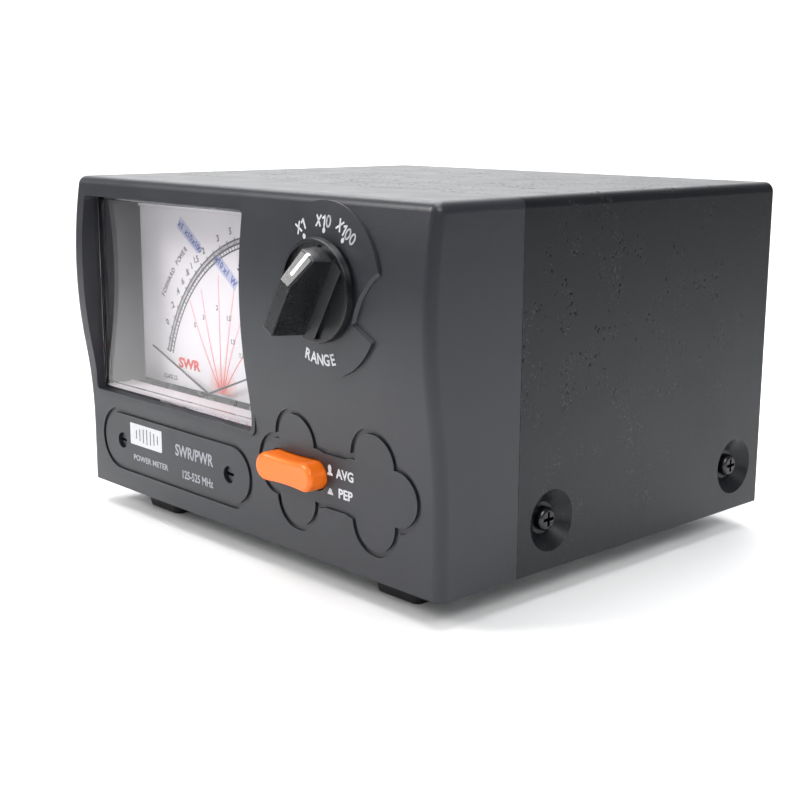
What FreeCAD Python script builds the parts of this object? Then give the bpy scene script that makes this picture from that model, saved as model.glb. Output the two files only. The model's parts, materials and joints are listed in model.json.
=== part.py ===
import FreeCAD
import Part
import math
import os

# Cross-needle SWR and power meter for a radio station, in millimetres.
# The origin is at the middle of the footprint, on the surface the feet rest on.
# +Z is up, the front panel faces -Y and +X is the right-hand side seen from the front.

# ---------------------------------------------------------------- overall sizes
CASE_WIDTH = 140.0
CASE_DEPTH = 122.0
CASE_HEIGHT = 84.4
FOOT_HEIGHT = 6.5
KNOB_REACH = 11.6          # top of the range knob in front of the foremost line of the panel
CONNECTOR_REACH = 17.0     # end of the coaxial connectors behind the case

# ---------------------------------------------------------------- common fits
SLIP = 0.05                # screws and pins in their holes
SMALL_GAP = 0.3            # one sheet or moulding beside another
MOVING_GAP = 0.35          # round the push-button cap
JOINT_GAP = 0.1            # a lever ring on its boss, a pin in its fork

# ---------------------------------------------------------------- front bezel
BEZEL_DEPTH = 27.6
BEZEL_WALL = 3.0
BEZEL_SIDE = 2.5
CORNER_R = 2.5
FACE_CURVE_R = 128.0       # radius of the crown and of the hollow under it
CROWN_DROP = 24.0          # foremost line of the panel, below the roof
BEND_DROP = 46.0           # where the crown passes into the hollow
LIP_DEPTH = 5.5            # front lip under the floor plate
TONGUE_LENGTH = 3.0
TONGUE_THICKNESS = 1.5

# ---------------------------------------------------------------- sheet metal
COVER_THICKNESS = 1.0
PLATE_THICKNESS = 1.2
DISH_R = 7.25
DISH_FLAT_R = 3.7
DISH_DEPTH = 3.0
DISH_HEIGHT = 11.45        # screw centres above the case bottom
DISH_FROM_SEAM = 11.4
DISH_FROM_REAR = 11.0
TAB_WIDTH = 16.0
TAB_HEIGHT = 19.0
TAB_THICKNESS = 1.5

# ---------------------------------------------------------------- panel layout
METER_X = -29.4            # centre line of the meter
WINDOW_WIDTH = 70.8
WINDOW_LOW = 26.4          # above the case bottom
WINDOW_HIGH = 79.3
WINDOW_DEPTH = 6.0         # recess in front of the clear cover
WINDOW_CORNER_R = 1.2
PAD_WIDTH = 68.7
PAD_HEIGHT = 17.0
PAD_MID = 13.7
GROOVE_WIDTH = 1.3
GROOVE_DEPTH = 0.6
KNOB_X = 36.5
KNOB_DROP = 20.55          # knob axis below the roof, in the middle of the crown
DISC_R = 19.3
DISC_RISE = 0.8
DISC_BEVEL = 0.65
CLOVER_LOBE_R = 7.0
CLOVER_LEFT_X = 22.5
CLOVER_PITCH = 27.0
CLOVER_Z = 20.2
CLOVER_BAR_HALF = 6.4
SHAFT_HOLE_R = 4.0

# ---------------------------------------------------------------- range knob
SKIRT_GAP = 0.5
SKIRT_R = 11.6
SKIRT_TOP_R = 11.3
SKIRT_THICKNESS = 1.4
RIM_INNER_R = 10.5
POCKET_DEPTH = 0.8
LEDGE_HALF = 5.6
GRIP_R = 10.0
GRIP_BASE_HALF = 3.1
GRIP_TOP_HALF = 1.7
GRIP_NOSE = 2.9            # where the pointer slope starts, from the axis
GRIP_TIP_DROP = 3.6        # how far the slope falls at the end of the grip
GRIP_EDGE_R = 0.45
LINE_WIDTH = 0.9
LINE_START = 5.2
LINE_DEPTH = 0.5
HUB_R = 3.4
HUB_LENGTH = 1.6
SHAFT_R = 2.0
SHAFT_FLAT = 1.4
SHAFT_GRIP = 4.2           # length of shaft inside the grip, above the skirt
POINTING = 30.0            # degrees clockwise from upright, the X100 position

# ---------------------------------------------------------------- push button
CAP_LENGTH = 20.6
CAP_HEIGHT = 6.8
CAP_WAIST = 0.25
CAP_REACH = 5.0
CAP_X = 22.6
CAP_Z = 20.35
CAP_EDGE_R = 1.1
CAP_DISH = 0.45
CAP_FLANGE = 0.9
BUTTON_TRAVEL = 2.5
PLUNGER_HALF = 1.5
MODE_BODY_HALF = 4.2
SPRING_WIRE_R = 0.2
SPRING_R = 1.0
SPRING_TURNS = 5

# ---------------------------------------------------------------- meter
METER_WALL = 1.6
METER_HIGH = 80.9
METER_LOW = 9.6
MOVEMENT_HALF = 31.0       # half width of the housing below the window
COVER_SKIRT = 6.0          # depth of the clear cover
COVER_RISE = 1.1           # how far its front stands up inside the bezel opening
COVER_BEVEL = 0.7
METER_DEPTH = 30.0         # from the front of the clear cover to the back of the housing
DIAL_SETBACK = 13.3        # dial behind the front of the clear cover
DIAL_THICKNESS = 0.8
DIAL_LOW = 27.6
MASK_TOP = 27.4
MASK_THICKNESS = 0.6
LINER_THICKNESS = 0.8
LINER_ROOT = 1.95          # length of liner that is one with the tub
PIVOT_OFFSET = 18.8        # each movement's axis, from the meter's centre line
PIVOT_Z = 21.5
NEEDLE_REST = 20.7         # degrees above level when nothing is measured
NEEDLE_LENGTH = 47.6
NEEDLE_SETBACK = 10.0
NEEDLE_THICKNESS = 0.35
NEEDLE_STEP = 0.9          # the reflected needle passes behind the forward one
YOKE_R = 9.0
YOKE_INNER_R = 7.6
MOVEMENT_LENGTH = 9.0
MAGNET_R = 4.4
COIL_R = 6.9
COIL_INNER_R = 5.2
COIL_HALF = 1.2
ARBOR_R = 0.45
ZERO_OFFSET = 24.5
ZERO_Z = 13.4
ZERO_HOLE_R = 2.15
ZERO_HEAD_GAP = 0.3
ECCENTRIC = 1.2
ECCENTRIC_R = 0.4
ZERO_NECK_R = 1.2
YOKE_PLATE = 1.6           # the ring's length behind the coil, with the rear bearing plate

# ---------------------------------------------------------------- boards
BOARD_THICKNESS = 1.6
SWITCH_BOARD_SETBACK = 19.0
SWITCH_BOARD_LEFT = 12.0
SWITCH_BOARD_RIGHT = 57.0
SWITCH_BOARD_LOW = 11.5
SWITCH_BOARD_ABOVE = 9.15  # top edge above the knob axis
MAIN_BOARD_HALF = 50.0
MAIN_BOARD_FROM_SEAM = 13.0
MAIN_BOARD_DEPTH = 39.0
PILLAR_R = 2.75
PILLAR_HEIGHT = 6.0

# ---------------------------------------------------------------- coupler and rear
CONNECTOR_HEIGHT = 42.0
CONNECTOR_HALF_PITCH = 27.0
CONNECTOR_R = 7.94         # 5/8-24 coupling thread
CONNECTOR_FLANGE = 25.4
FLANGE_THICKNESS = 1.6
FLANGE_HOLE_HALF = 9.1
INSULATOR_R = 6.1
INSULATOR_RECESS = 6.0
MOUTH_R = 6.4              # inside of the coupling barrel in front of the insulator
CONTACT_R = 2.9
CONTACT_BORE_R = 2.0
COUPLER_HALF = 42.0
COUPLER_DEPTH = 34.0
COUPLER_HALF_HEIGHT = 13.0
COUPLER_WALL = 3.0
LINE_R = 1.5
JACK_X = -57.0
JACK_HEIGHT = 42.0
JACK_R = 3.9
JACK_BORE_R = 2.9
CABLE_R = 1.4

# ---------------------------------------------------------------- screws
SCREW_R = 1.5
SCREW_HEAD_R = 2.8
SCREW_HEAD_HEIGHT = 2.1

# ---------------------------------------------------------------- feet
FOOT_SIZE = 14.0
FOOT_DRAFT = 1.5
FOOT_CORNER_R = 2.0
FOOT_X = 47.5
FOOT_FROM_FRONT = 19.0
FOOT_FROM_REAR = 14.0
FOOT_SINK_R = 3.6
FOOT_SINK_DEPTH = 3.6

# ---------------------------------------------------------------- derived places
X_SIDE = CASE_WIDTH / 2
Y_FRONT = (KNOB_REACH - CASE_DEPTH - CONNECTOR_REACH) / 2
Y_REAR = Y_FRONT + CASE_DEPTH
Y_SEAM = Y_FRONT + BEZEL_DEPTH
Z_FLOOR = FOOT_HEIGHT
Z_ROOF = Z_FLOOR + CASE_HEIGHT
KNOB_HEIGHT = Z_ROOF - KNOB_DROP
SWITCH_BOARD_TOP = KNOB_HEIGHT + SWITCH_BOARD_ABOVE
STRAIGHT_DROP = 2 * BEND_DROP - CROWN_DROP
PLATE_LOW = Z_FLOOR + SMALL_GAP
PLATE_TOP = PLATE_LOW + PLATE_THICKNESS
Y_WINDOW = Y_FRONT + WINDOW_DEPTH
Y_DIAL = Y_WINDOW + DIAL_SETBACK
Y_NEEDLE = Y_WINDOW + NEEDLE_SETBACK
Y_METER_BACK = Y_WINDOW + METER_DEPTH
Y_UPRIGHT = Y_SEAM - PLATE_THICKNESS - SMALL_GAP
Y_SWITCH_BOARD = Y_FRONT + SWITCH_BOARD_SETBACK
Y_PANEL = Y_REAR - 1.0 - PLATE_THICKNESS
WINDOW_LEFT = METER_X - WINDOW_WIDTH / 2
WINDOW_RIGHT = METER_X + WINDOW_WIDTH / 2
METER_LEFT = WINDOW_LEFT - METER_WALL + SMALL_GAP
METER_RIGHT = WINDOW_RIGHT + METER_WALL - SMALL_GAP
METER_COVER_LOW = Z_FLOOR + WINDOW_LOW - METER_WALL + SMALL_GAP
CONNECTOR_Z = Z_FLOOR + CONNECTOR_HEIGHT
PIVOT_HEIGHT = Z_FLOOR + PIVOT_Z
ZERO_HEIGHT = Z_FLOOR + ZERO_Z
TAB_FACE = X_SIDE - DISH_DEPTH - COVER_THICKNESS - SLIP

DISH_PLACES = [(Y_SEAM + DISH_FROM_SEAM, Z_FLOOR + DISH_HEIGHT),
               (Y_REAR - DISH_FROM_REAR, Z_FLOOR + DISH_HEIGHT)]
POST_INSET = 7.0
POST_RISE = 6.0
POST_R = 3.2
EAR_HALF = 3.5
HIGH_EAR_PLACE = (METER_RIGHT + POST_R + 2.0, Z_FLOOR + METER_HIGH - EAR_HALF)
POST_PLACES = [(-X_SIDE + POST_INSET + 3.0, Z_FLOOR + POST_RISE),
               (X_SIDE - POST_INSET - 1.0, Z_FLOOR + POST_RISE),
               (X_SIDE - POST_INSET - 1.0, Z_ROOF - POST_INSET)]
EAR_SETBACK = 14.0
EAR_THICKNESS = 2.0
EAR_PLACES = [(METER_X - PIVOT_OFFSET / 2, Z_FLOOR + POST_RISE),
              (METER_X + PIVOT_OFFSET / 2, Z_FLOOR + POST_RISE)]
SPACER_PLACES = [(SWITCH_BOARD_RIGHT - 4.0, Z_FLOOR + SWITCH_BOARD_LOW + 4.0),
                 (SWITCH_BOARD_RIGHT - 4.0, SWITCH_BOARD_TOP - 4.0),
                 (SWITCH_BOARD_LEFT + 4.0, SWITCH_BOARD_TOP - 4.0)]
MAIN_FRONT = Y_SEAM + MAIN_BOARD_FROM_SEAM
MAIN_REAR = MAIN_FRONT + MAIN_BOARD_DEPTH
PILLAR_PLACES = [(x, y) for x in (-MAIN_BOARD_HALF + 4.0, MAIN_BOARD_HALF - 4.0)
                 for y in (MAIN_FRONT + 4.0, MAIN_REAR - 4.0)]
MAIN_BOARD_LOW = PLATE_TOP + PILLAR_HEIGHT
MAIN_BOARD_TOP = MAIN_BOARD_LOW + BOARD_THICKNESS
FOOT_PLACES = {
    "foot_front_left": (-FOOT_X, Y_FRONT + FOOT_FROM_FRONT),
    "foot_front_right": (FOOT_X, Y_FRONT + FOOT_FROM_FRONT),
    "foot_rear_left": (-FOOT_X, Y_REAR - FOOT_FROM_REAR),
    "foot_rear_right": (FOOT_X, Y_REAR - FOOT_FROM_REAR),
}
CONNECTOR_PLACES = {
    "tx_connector": -CONNECTOR_HALF_PITCH,
    "antenna_connector": CONNECTOR_HALF_PITCH,
}
FLANGE_SCREW_PLACES = [(x + dx, CONNECTOR_Z + dz)
                       for x in CONNECTOR_PLACES.values()
                       for dx in (-FLANGE_HOLE_HALF, FLANGE_HOLE_HALF)
                       for dz in (-FLANGE_HOLE_HALF, FLANGE_HOLE_HALF)]
REAR_FLANGE_DEPTH = 9.0
REAR_FLANGE_HALF = 62.0
REAR_SCREW_PLACES = [(-30.0, Y_PANEL - REAR_FLANGE_DEPTH / 2), (30.0, Y_PANEL - REAR_FLANGE_DEPTH / 2)]


# ---------------------------------------------------------------- solid helpers
def vec(x, y, z):
    return FreeCAD.Vector(x, y, z)


def block(x0, x1, y0, y1, z0, z1):
    return Part.makeBox(x1 - x0, y1 - y0, z1 - z0, vec(x0, y0, z0))


def rod_x(x0, x1, y, z, r):
    return Part.makeCylinder(r, x1 - x0, vec(x0, y, z), vec(1, 0, 0))


def rod_y(x, z, r, y0, y1):
    return Part.makeCylinder(r, y1 - y0, vec(x, y0, z), vec(0, 1, 0))


def rod_z(x, y, r, z0, z1):
    return Part.makeCylinder(r, z1 - z0, vec(x, y, z0), vec(0, 0, 1))


def ring_y(x, z, r_out, r_in, y0, y1):
    return rod_y(x, z, r_out, y0, y1).cut(rod_y(x, z, r_in, y0 - 1, y1 + 1))


def joined(shapes):
    whole = shapes[0].multiFuse(shapes[1:]) if len(shapes) > 1 else shapes[0]
    return whole.removeSplitter()


def without(shape, tools):
    return shape.cut(Part.makeCompound(tools)) if tools else shape


def solid_y(edges, y0, y1):
    """A solid with the closed outline of the edges, drawn in a plane of constant Y."""
    face = Part.Face(Part.Wire(Part.__sortEdges__(edges)))
    face.translate(vec(0, y0, 0))
    return face.extrude(vec(0, y1 - y0, 0))


def line_xz(a, b):
    return Part.LineSegment(vec(a[0], 0, a[1]), vec(b[0], 0, b[1])).toShape()


def arc_xz(a, m, b):
    return Part.Arc(vec(a[0], 0, a[1]), vec(m[0], 0, m[1]), vec(b[0], 0, b[1])).toShape()


def rounded_plate_y(x0, x1, z0, z1, r, y0, y1):
    plate = block(x0, x1, y0, y1, z0, z1)
    edges = [e for e in plate.Edges if abs(e.BoundBox.YLength - (y1 - y0)) < 1e-6]
    return plate.makeFillet(r, edges)


def stadium_y(x, z, width, height, y0, y1):
    half = (width - height) / 2
    body = block(x - half, x + half, y0, y1, z - height / 2, z + height / 2)
    ends = [rod_y(x + s * half, z, height / 2, y0, y1) for s in (-1, 1)]
    return joined([body] + ends)


def placed(shape, origin, direction):
    """A shape drawn with its head towards +Z, turned to face a direction and moved to its place."""
    turned = shape.copy()
    turned.Placement = FreeCAD.Placement(origin, FreeCAD.Rotation(vec(0, 0, 1), direction))
    return turned


def make_screw(length):
    """Pan-head cross-recess screw: the head's underside is at the origin and the head is towards +Z."""
    head = Part.makeCylinder(SCREW_HEAD_R, SCREW_HEAD_HEIGHT)
    rim = [e for e in head.Edges if e.BoundBox.ZMin > SCREW_HEAD_HEIGHT - 0.01]
    head = head.makeFillet(SCREW_HEAD_HEIGHT * 0.5, rim)
    shank = Part.makeCylinder(SCREW_R, length, vec(0, 0, -length))
    body = head.fuse(shank).removeSplitter()
    slot_half = 0.4
    slot_length = SCREW_HEAD_R * 0.62
    slot_floor = SCREW_HEAD_HEIGHT * 0.4
    cross = [block(-a, a, -b, b, slot_floor, SCREW_HEAD_HEIGHT + 1)
             for a, b in ((slot_length, slot_half), (slot_half, slot_length))]
    return without(body, cross)


def screws(places, direction, length):
    return Part.makeCompound([placed(make_screw(length), vec(*p), direction) for p in places])


def hole_r():
    return SCREW_R + SLIP


# ---------------------------------------------------------------- the curved front face
def crown_depth(drop):
    reach = drop - CROWN_DROP
    return FACE_CURVE_R - math.sqrt(FACE_CURVE_R ** 2 - reach ** 2)


FACE_DEPTH = 2 * crown_depth(BEND_DROP)


def face_y(z):
    """Y of the front face at a height: a crown, then a hollow of the same radius, then a flat."""
    drop = Z_ROOF - z
    if drop >= STRAIGHT_DROP:
        return Y_FRONT + FACE_DEPTH
    if drop <= BEND_DROP:
        return Y_FRONT + crown_depth(drop)
    reach = STRAIGHT_DROP - drop
    return Y_FRONT + FACE_DEPTH - (FACE_CURVE_R - math.sqrt(FACE_CURVE_R ** 2 - reach ** 2))


def behind_face(shift, x_half, z0, z1, y_back):
    """Everything behind the front face, moved back by a shift, as one solid."""
    def point(z):
        return vec(-x_half, face_y(z) + shift, z)
    z_bend = Z_ROOF - BEND_DROP
    z_straight = Z_ROOF - STRAIGHT_DROP
    edges = [
        Part.LineSegment(vec(-x_half, y_back, z1), point(z1)).toShape(),
        Part.Arc(point(z1), point((z1 + z_bend) / 2), point(z_bend)).toShape(),
        Part.Arc(point(z_bend), point((z_bend + z_straight) / 2), point(z_straight)).toShape(),
        Part.LineSegment(point(z_straight), point(z0)).toShape(),
        Part.LineSegment(point(z0), vec(-x_half, y_back, z0)).toShape(),
        Part.LineSegment(vec(-x_half, y_back, z0), vec(-x_half, y_back, z1)).toShape(),
    ]
    return Part.Face(Part.Wire(edges)).extrude(vec(2 * x_half, 0, 0))


def groove(outer, inner):
    """The part of an outline that lies within the groove's depth of the front face."""
    band = outer.cut(inner)
    return band.cut(behind_face(GROOVE_DEPTH, CASE_WIDTH, Z_FLOOR, Z_ROOF, Y_SEAM))


def clover(grow):
    """Two four-lobed leaves joined by a bar, drawn through the front wall."""
    y0 = Y_FRONT - 1
    y1 = Y_FRONT + FACE_DEPTH + BEZEL_WALL
    z = Z_FLOOR + CLOVER_Z
    r = CLOVER_LOBE_R + grow
    bar = CLOVER_BAR_HALF + grow
    pieces = [block(CLOVER_LEFT_X, CLOVER_LEFT_X + CLOVER_PITCH, y0, y1, z - bar, z + bar)]
    for x in (CLOVER_LEFT_X, CLOVER_LEFT_X + CLOVER_PITCH):
        pieces.append(rod_y(x, z, CLOVER_LOBE_R / 2, y0, y1))
        for dx, dz in ((1, 0), (-1, 0), (0, 1), (0, -1)):
            pieces.append(rod_y(x + dx * CLOVER_LOBE_R, z + dz * CLOVER_LOBE_R, r, y0, y1))
    return joined(pieces)


def cap_outline(grow, y0, y1):
    """The push-button's outline: round ends and slightly hollow long sides."""
    half = CAP_LENGTH / 2 + grow
    high = CAP_HEIGHT / 2 + grow
    mid = half - high
    z = Z_FLOOR + CAP_Z
    edges = [
        arc_xz((CAP_X - mid, z + high), (CAP_X, z + high - CAP_WAIST), (CAP_X + mid, z + high)),
        arc_xz((CAP_X + mid, z + high), (CAP_X + half, z), (CAP_X + mid, z - high)),
        arc_xz((CAP_X + mid, z - high), (CAP_X, z - high + CAP_WAIST), (CAP_X - mid, z - high)),
        arc_xz((CAP_X - mid, z - high), (CAP_X - half, z), (CAP_X - mid, z + high)),
    ]
    return solid_y(edges, y0, y1)


def dial_disc():
    """Raised scale disc round the knob, with a leaf-shaped bite out of its right side."""
    x, z = KNOB_X, KNOB_HEIGHT
    y0 = Y_FRONT - DISC_RISE - 1
    y1 = Y_FRONT + BEZEL_WALL / 2
    disc = rod_y(x, z, DISC_R, y0, y1)
    upper = (x + DISC_R, z + DISC_R * 0.27)
    waist = (x + DISC_R * 0.69, z - DISC_R * 0.055)
    inner = (x + DISC_R * 0.585, z - DISC_R * 0.31)
    outer = (x + DISC_R, z - DISC_R * 0.545)
    bite = solid_y([arc_xz(upper, waist, inner), line_xz(inner, outer), line_xz(outer, upper)], y0, y1)
    disc = disc.cut(bite)
    disc = disc.common(behind_face(-DISC_RISE, CASE_WIDTH, Z_FLOOR, Z_ROOF, Y_SEAM))
    edge = [e for e in disc.Edges
            if e.BoundBox.YMax < face_y(e.BoundBox.ZMin) - DISC_RISE + 0.5 and e.BoundBox.YLength < 2.0]
    return disc.makeChamfer(DISC_BEVEL, edge)


def window_hole(grow, y0, y1):
    return rounded_plate_y(WINDOW_LEFT - grow, WINDOW_RIGHT + grow, Z_FLOOR + WINDOW_LOW - grow,
                           Z_FLOOR + WINDOW_HIGH + grow, WINDOW_CORNER_R + grow, y0, y1)


# ---------------------------------------------------------------- case
def make_front_bezel():
    shell = behind_face(0, X_SIDE, Z_FLOOR, Z_ROOF, Y_SEAM)
    soft = [e for e in shell.Edges
            if e.BoundBox.YMin < Y_SEAM - 1 and e.BoundBox.ZMax > Z_FLOOR + 0.1
            and not (e.BoundBox.XLength > 1 and e.BoundBox.ZMax < Z_ROOF - 0.1)]
    shell = shell.makeFillet(CORNER_R, soft)
    cavity = behind_face(BEZEL_WALL, X_SIDE - BEZEL_SIDE, Z_FLOOR, Z_ROOF, Y_SEAM + 1)
    cavity = cavity.common(block(-X_SIDE, X_SIDE, Y_FRONT, Y_SEAM + 2,
                                 Z_FLOOR + BEZEL_SIDE, Z_ROOF - BEZEL_SIDE))
    floor_hole = block(-X_SIDE + BEZEL_SIDE, X_SIDE - BEZEL_SIDE,
                       Y_FRONT + FACE_DEPTH + LIP_DEPTH, Y_SEAM + 1, Z_FLOOR - 1, Z_FLOOR + BEZEL_SIDE + 1)
    shell = without(shell, [cavity, floor_hole])

    reach = X_SIDE - COVER_THICKNESS - SMALL_GAP
    top = Z_ROOF - COVER_THICKNESS - SMALL_GAP
    tongue = block(-reach, reach, Y_SEAM - 2, Y_SEAM + TONGUE_LENGTH, Z_FLOOR + BEZEL_SIDE, top)
    tongue = tongue.cut(block(-reach + TONGUE_THICKNESS, reach - TONGUE_THICKNESS, Y_SEAM - 3,
                              Y_SEAM + TONGUE_LENGTH + 1, Z_FLOOR, top - TONGUE_THICKNESS))
    shoulders = [e for e in tongue.Edges if e.BoundBox.YLength > 1 and e.BoundBox.ZMin > top - 0.1]
    tongue = tongue.makeFillet(CORNER_R - COVER_THICKNESS, shoulders)
    additions = [tongue, window_hole(METER_WALL - SMALL_GAP, Y_FRONT + BEZEL_WALL, Y_WINDOW), dial_disc()]
    for x, z in POST_PLACES:
        additions.append(rod_y(x, z, POST_R, face_y(z) + BEZEL_WALL / 2, Y_UPRIGHT))
    x, z = HIGH_EAR_PLACE
    additions.append(rod_y(x, z, POST_R, face_y(z) + BEZEL_WALL / 2, Y_UPRIGHT - EAR_THICKNESS))
    for x, z in EAR_PLACES:
        additions.append(rod_y(x, z, POST_R, face_y(z) + BEZEL_WALL / 2, Y_FRONT + EAR_SETBACK))
    bezel = joined([shell] + additions)

    pad_z = Z_FLOOR + PAD_MID
    pad_y = (Y_FRONT - 1, Y_FRONT + FACE_DEPTH + BEZEL_WALL)
    cuts = [window_hole(0, Y_FRONT - 1, Y_WINDOW + 1),
            block(METER_LEFT - SLIP, METER_RIGHT + SLIP, Y_WINDOW - SLIP, Y_WINDOW + COVER_SKIRT,
                  METER_COVER_LOW - SLIP, Z_FLOOR + METER_HIGH + SLIP),
            groove(stadium_y(METER_X, pad_z, PAD_WIDTH, PAD_HEIGHT, *pad_y),
                   stadium_y(METER_X, pad_z, PAD_WIDTH - 2 * GROOVE_WIDTH,
                             PAD_HEIGHT - 2 * GROOVE_WIDTH, *pad_y)),
            groove(clover(GROOVE_WIDTH / 2), clover(-GROOVE_WIDTH / 2)),
            cap_outline(MOVING_GAP, Y_FRONT - 1, Y_FRONT + FACE_DEPTH + BEZEL_WALL + 1),
            rod_y(KNOB_X, KNOB_HEIGHT, SHAFT_HOLE_R, Y_FRONT - 2, Y_FRONT + BEZEL_WALL + 1)]
    for side in (-1, 1):
        cuts.append(rod_y(METER_X + side * ZERO_OFFSET, ZERO_HEIGHT, ZERO_HOLE_R, *pad_y))
    for x, z in POST_PLACES + [HIGH_EAR_PLACE]:
        cuts.append(rod_y(x, z, hole_r(), Y_UPRIGHT - 9, Y_UPRIGHT + 1))
    for x, z in EAR_PLACES:
        cuts.append(rod_y(x, z, hole_r(), Y_FRONT + EAR_SETBACK - 6, Y_FRONT + EAR_SETBACK + 1))
    return without(bezel, cuts)


def dish(grow, side, y, z):
    """The cone of a screw dish, from the side face inwards; grow is the metal behind it."""
    outer = X_SIDE - grow * COVER_THICKNESS
    deep = X_SIDE - DISH_DEPTH - grow * COVER_THICKNESS
    start = DISH_R + grow * COVER_THICKNESS * 0.4
    end = DISH_FLAT_R + grow * COVER_THICKNESS
    return Part.makeCone(start, end, outer - deep, vec(side * outer, y, z), vec(-side, 0, 0))


def make_top_cover():
    y0 = Y_SEAM + SMALL_GAP / 2
    skin = block(-X_SIDE, X_SIDE, y0, Y_REAR, Z_FLOOR, Z_ROOF)
    edges = [e for e in skin.Edges if e.BoundBox.YLength > 1 and e.BoundBox.ZMin > Z_ROOF - 0.1]
    skin = skin.makeFillet(CORNER_R, edges)
    reach = X_SIDE - COVER_THICKNESS
    inside = block(-reach, reach, y0 - 1, Y_REAR + 1, Z_FLOOR - 1, Z_ROOF - COVER_THICKNESS)
    edges = [e for e in inside.Edges
             if e.BoundBox.YLength > 1 and e.BoundBox.ZMin > Z_ROOF - COVER_THICKNESS - 0.1]
    inside = inside.makeFillet(CORNER_R - COVER_THICKNESS, edges)
    cover = skin.cut(inside)
    places = [(side, y, z) for side in (-1, 1) for y, z in DISH_PLACES]
    cover = joined([cover] + [dish(1, *p) for p in places])
    cover = without(cover, [dish(0, *p) for p in places])
    holes = [rod_x(side * X_SIDE - 8, side * X_SIDE + 8, y, z, hole_r()) for side, y, z in places]
    return without(cover, holes)


def make_chassis_base():
    lip = Y_FRONT + FACE_DEPTH + LIP_DEPTH + SMALL_GAP
    inner = X_SIDE - BEZEL_SIDE - SMALL_GAP
    wide = X_SIDE - COVER_THICKNESS - SMALL_GAP
    pieces = [block(-inner, inner, lip, Y_SEAM + 1, PLATE_LOW, PLATE_TOP),
              block(-wide, wide, Y_SEAM + SMALL_GAP, Y_REAR - SMALL_GAP, PLATE_LOW, PLATE_TOP)]
    upright = (Y_UPRIGHT, Y_UPRIGHT + PLATE_THICKNESS)
    narrow = inner - TONGUE_THICKNESS
    pieces.append(block(-narrow, narrow, *upright, PLATE_LOW, Z_FLOOR + METER_LOW - 0.8))
    pieces.append(block(METER_RIGHT + 1.5, narrow, *upright, PLATE_LOW, Z_ROOF - BEZEL_SIDE - 1.5))
    for side in (-1, 1):
        x0, x1 = sorted((side * TAB_FACE, side * (TAB_FACE - TAB_THICKNESS)))
        for y, z in DISH_PLACES:
            pieces.append(block(x0, x1, y - TAB_WIDTH / 2, y + TAB_WIDTH / 2,
                                PLATE_LOW, PLATE_LOW + TAB_HEIGHT))
    base = joined(pieces)
    cuts = [rod_x(-X_SIDE, X_SIDE, y, z, hole_r()) for y, z in DISH_PLACES]
    cuts += [rod_y(x, z, hole_r(), Y_UPRIGHT - 1, Y_SEAM + 1) for x, z in POST_PLACES + [HIGH_EAR_PLACE]]
    cuts += [rod_y(x, z, SCREW_HEAD_R + SMALL_GAP, Y_UPRIGHT - 1, Y_SEAM + 1) for x, z in EAR_PLACES]
    foot_and_rear = list(FOOT_PLACES.values()) + REAR_SCREW_PLACES
    cuts += [rod_z(x, y, hole_r(), PLATE_LOW - 1, PLATE_TOP + 1) for x, y in foot_and_rear]
    return without(base, cuts)


def make_rear_panel():
    reach = X_SIDE - COVER_THICKNESS - SMALL_GAP
    top = Z_ROOF - COVER_THICKNESS - SMALL_GAP
    panel = block(-reach, reach, Y_PANEL, Y_PANEL + PLATE_THICKNESS, PLATE_TOP + SLIP, top)
    edges = [e for e in panel.Edges
             if abs(e.BoundBox.YLength - PLATE_THICKNESS) < 0.01 and e.BoundBox.ZMin > top - 0.1]
    panel = panel.makeFillet(CORNER_R - COVER_THICKNESS, edges)
    flange = block(-REAR_FLANGE_HALF, REAR_FLANGE_HALF, Y_PANEL - REAR_FLANGE_DEPTH,
                   Y_PANEL + PLATE_THICKNESS, PLATE_TOP + SLIP, PLATE_TOP + SLIP + PLATE_THICKNESS)
    panel = joined([panel, flange])
    through = (Y_PANEL - 1, Y_REAR)
    cuts = [rod_y(x, CONNECTOR_Z, INSULATOR_R + 2.0, *through) for x in CONNECTOR_PLACES.values()]
    cuts += [rod_y(x, z, hole_r(), *through) for x, z in FLANGE_SCREW_PLACES]
    cuts.append(rod_y(JACK_X, Z_FLOOR + JACK_HEIGHT, JACK_R + SLIP, *through))
    cuts += [rod_z(x, y, hole_r(), PLATE_TOP - 1, PLATE_TOP + 3) for x, y in REAR_SCREW_PLACES]
    return without(panel, cuts)


def make_cover_screws():
    depth = X_SIDE - DISH_DEPTH
    right = screws([(depth, y, z) for y, z in DISH_PLACES], vec(1, 0, 0), 6.0)
    left = screws([(-depth, y, z) for y, z in DISH_PLACES], vec(-1, 0, 0), 6.0)
    return Part.makeCompound(right.Solids + left.Solids)


def make_front_screws():
    """Screws that hold the chassis upright, and the meter's two ears, to posts in the bezel."""
    places = POST_PLACES + [HIGH_EAR_PLACE]
    upright = screws([(x, Y_UPRIGHT + PLATE_THICKNESS, z) for x, z in places], vec(0, 1, 0), 8.0)
    ears = screws([(x, Y_FRONT + EAR_SETBACK + EAR_THICKNESS, z) for x, z in EAR_PLACES], vec(0, 1, 0), 7.0)
    return Part.makeCompound(upright.Solids + ears.Solids)


def rounded_square(x, y, half, r, z):
    edges = []
    corners = [(1, 1), (-1, 1), (-1, -1), (1, -1)]
    for i, (sx, sy) in enumerate(corners):
        centre = vec(x + sx * (half - r), y + sy * (half - r), z)
        start = 90 * i
        points = [centre + vec(r * math.cos(math.radians(a)), r * math.sin(math.radians(a)), 0)
                  for a in (start, start + 45, start + 90)]
        nx, ny = corners[(i + 1) % 4]
        after = vec(x + nx * (half - r), y + ny * (half - r), z)
        turn = math.radians(start + 90)
        after = after + vec(r * math.cos(turn), r * math.sin(turn), 0)
        edges.append(Part.Arc(*points).toShape())
        edges.append(Part.LineSegment(points[2], after).toShape())
    return Part.Wire(edges)


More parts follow.
